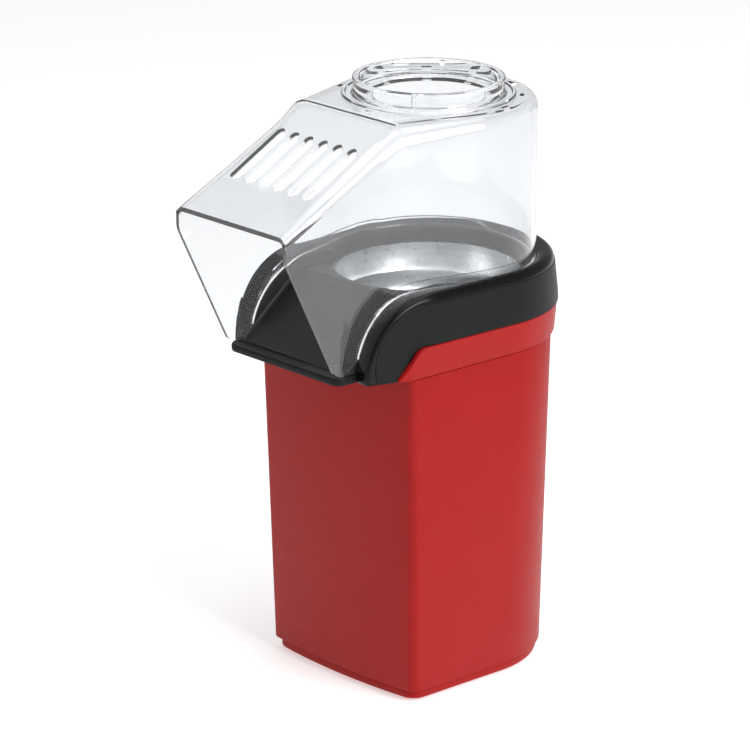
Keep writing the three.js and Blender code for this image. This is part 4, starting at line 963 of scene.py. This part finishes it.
def clear_cover(look):
    """One clear moulding: shell, filler neck with its ribs, hood slots and deck slots."""
    piece = put("cover_shell", [cover_shell()], [look])
    carve(piece, [rod(NECK - NECK_WALL, COVER_TOP - 6, COVER_TOP + 3, (0, 0), 120)])
    carve(piece, [lathe(neck_profile(), 120)], "UNION")
    carve(piece, [neck_rib(angle) for angle in NECK_RIB_ANGLES], "UNION")
    carve(piece, [vent_cutter((i - (VENTS - 1) / 2) * VENT_PITCH) for i in range(VENTS)]
          + [deck_vent(angle) for angle in DECK_VENT_ANGLES])
    return show(piece, "cover", ["clear_cover"], 40)


# ---------------------------------------------------------------- chamber and carried-over pieces

def popping_chamber(look):
    """Drawn cup with a rolled flange, a dished floor and slanted air slots."""
    foot, top = CHAMBER_LOW.z, CHAMBER_HIGH.z
    flange = CHAMBER_HIGH.x
    outer = CUP_RADIUS + CUP_WALL
    floor, turned = foot + CUP_WALL, CUP_CORNER + CUP_WALL
    corner = [(CUP_RADIUS - CUP_CORNER + CUP_CORNER * math.sin(a),
               floor + CUP_CORNER - CUP_CORNER * math.cos(a)) for a in np.radians(np.linspace(0, 90, 7))]
    under = [(outer - turned + turned * math.sin(a), foot + turned - turned * math.cos(a))
             for a in np.radians(np.linspace(90, 0, 7))]
    beads = [(CUP_RADIUS - inward, top - drop - above) for drop in BEAD_DROPS
             for above, inward in ((2 * BEAD_HALF, 0), (BEAD_HALF, BEAD), (0, 0))]
    dome = [(NEAR_AXIS, floor + DOME_RISE), (DOME_TOP, floor + DOME_RISE), (DOME_FOOT, floor)]
    rim = [(flange - 0.4, top), (flange, top - 0.4), (flange - 0.2, top - CUP_WALL), (outer, top - CUP_WALL)]
    underside = [(DOME_FOOT, foot), (DOME_TOP, foot + DOME_RISE), (NEAR_AXIS, foot + DOME_RISE)]
    profile = dome + corner + beads + [(CUP_RADIUS, top)] + rim + under + underside
    piece = put("chamber", [lathe(profile, 112)], [look])
    half = Vector(AIR_SLOT_HALF)
    slot = box_shell(-half, half)
    lean = Matrix.Rotation(math.radians(AIR_SLOT_LEAN), 3, "X")
    at = Vector((CUP_RADIUS, 0, foot + AIR_SLOT_RISE))
    tools = []
    for number in range(AIR_SLOTS):
        turn = Matrix.Rotation(2 * math.pi * number / AIR_SLOTS, 3, "Z")
        points = [tuple(turn @ (at + lean @ Vector(map(float, p)))) for p in slot[0]]
        tools.append((points, *slot[1:]))
    carve(piece, tools)
    return show(piece, "housing", ["popping_chamber"], 35)


def dress_nodes(looks):
    """Gives every CAD node that still shows its material and small rounded edges."""
    slots = {part["node"]: part["material_slot"] for part in frame["record"]["subparts"]}
    for name, node in frame["nodes"].items():
        if node.hide_render:
            continue
        node.data.materials.clear()
        node.data.materials.append(looks[slots[name]])
        rounding = node.modifiers.new("edges", "BEVEL")
        rounding.width = 0.25 * MM
        rounding.segments = 2
        rounding.limit_method = "ANGLE"
        rounding.angle_limit = math.radians(40)


# ---------------------------------------------------------------- stage, light and camera

LENS = 197.7
EYE = (1.37305, -1.26742, 0.76842)  # metres
BACKWARD = (0.69843, -0.64253, 0.31521)  # from the object towards the camera
FLOOR_HALF = 12  # metres
FLOOR_GLOW = 0.5
SURROUND_LOW = (0.02, (0.40, 0.405, 0.41, 1))  # height and grey of the surround near the horizon ...
SURROUND_HIGH = (0.75, (0.27, 0.275, 0.28, 1))  # ... and overhead


def stage():
    """Pale floor, a white surround for the camera and a softer grey one for reflections."""
    material, shader = principled("pale floor", Base_Color=(0.93, 0.93, 0.93, 1), Roughness=0.6)
    spread(material, noise(material, 3), (0.92, 0.92, 0.92), (0.94, 0.94, 0.94), "Base Color")
    shader.inputs["Emission Color"].default_value = (1, 1, 1, 1)
    shader.inputs["Emission Strength"].default_value = FLOOR_GLOW
    mesh = bpy.data.meshes.new("floor")
    half = FLOOR_HALF
    corners = [(-half, -half, 0), (half, -half, 0), (half, half, 0), (-half, half, 0)]
    mesh.from_pydata(corners, [], [(0, 1, 2, 3)])
    mesh.materials.append(material)
    floor = bpy.data.objects.new("floor", mesh)
    bpy.context.scene.collection.objects.link(floor)

    world = bpy.data.worlds.new("studio")
    bpy.context.scene.world = world
    world.use_nodes = True
    tree = world.node_tree
    surround = tree.nodes["Background"]
    place = tree.nodes.new("ShaderNodeTexCoord")
    parts = tree.nodes.new("ShaderNodeSeparateXYZ")
    ramp = tree.nodes.new("ShaderNodeValToRGB")
    for element, (rise, colour) in zip(ramp.color_ramp.elements, (SURROUND_LOW, SURROUND_HIGH)):
        element.position = rise
        element.color = colour
    plain = tree.nodes.new("ShaderNodeBackground")
    plain.inputs["Color"].default_value = (1, 1, 1, 1)
    rays = tree.nodes.new("ShaderNodeLightPath")
    mix = tree.nodes.new("ShaderNodeMixShader")
    tree.links.new(place.outputs["Generated"], parts.inputs["Vector"])
    tree.links.new(parts.outputs["Z"], ramp.inputs["Fac"])
    tree.links.new(ramp.outputs["Color"], surround.inputs["Color"])
    seen = tree.nodes.new("ShaderNodeMath")
    seen.operation = "MAXIMUM"
    tree.links.new(rays.outputs["Is Camera Ray"], seen.inputs[0])
    tree.links.new(rays.outputs["Is Transmission Ray"], seen.inputs[1])
    tree.links.new(seen.outputs["Value"], mix.inputs["Fac"])
    tree.links.new(surround.outputs["Background"], mix.inputs[1])
    tree.links.new(plain.outputs["Background"], mix.inputs[2])
    tree.links.new(mix.outputs["Shader"], tree.nodes["World Output"].inputs["Surface"])


def softbox(name, place, width, height, power, target=(0, 0, 0.15)):
    """Rectangular lamp at a place in metres, turned towards the middle of the object."""
    data = bpy.data.lights.new(name, "AREA")
    data.shape = "RECTANGLE"
    data.size = width
    data.size_y = height
    data.energy = power
    lamp = bpy.data.objects.new(name, data)
    lamp.location = place
    lamp.rotation_euler = (Vector(target) - Vector(place)).to_track_quat("-Z", "Y").to_euler()
    bpy.context.scene.collection.objects.link(lamp)


def lights():
    softbox("key", (1.6, 0.1, 1.1), 0.9, 1.2, 29)
    softbox("fill", (-0.5, -1.8, 0.9), 1.2, 1.0, 1.5)
    softbox("top", (0.1, 0.2, 1.7), 1.0, 1.0, 8)


def camera():
    """The view from the right of the chute and slightly above."""
    data = bpy.data.cameras.new("camera")
    data.lens = LENS
    data.sensor_width = 36
    data.clip_end = 60
    eye = bpy.data.objects.new("camera", data)
    backward = Vector(BACKWARD).normalized()
    right = Vector((0, 0, 1)).cross(backward).normalized()
    up = backward.cross(right)
    turn = Matrix((right, up, backward)).transposed().to_4x4()
    eye.matrix_world = Matrix.Translation(EYE) @ turn
    bpy.context.scene.collection.objects.link(eye)
    bpy.context.scene.camera = eye
    bpy.context.scene.view_settings.view_transform = "Standard"


# ---------------------------------------------------------------- the whole object

looks = make_materials()
camera()
stage()
lights()
body_shell(looks["red_plastic"])
base_plate(looks["red_plastic"])
rubber_feet(looks["rubber"])
cord_gland(looks["rubber"])
upper_band(looks["red_plastic"])
collar(looks["black_plastic"], looks["gloss_black"])
clear_cover(looks["clear_plastic"])
popping_chamber(looks["aluminium"])
dress_nodes(looks)
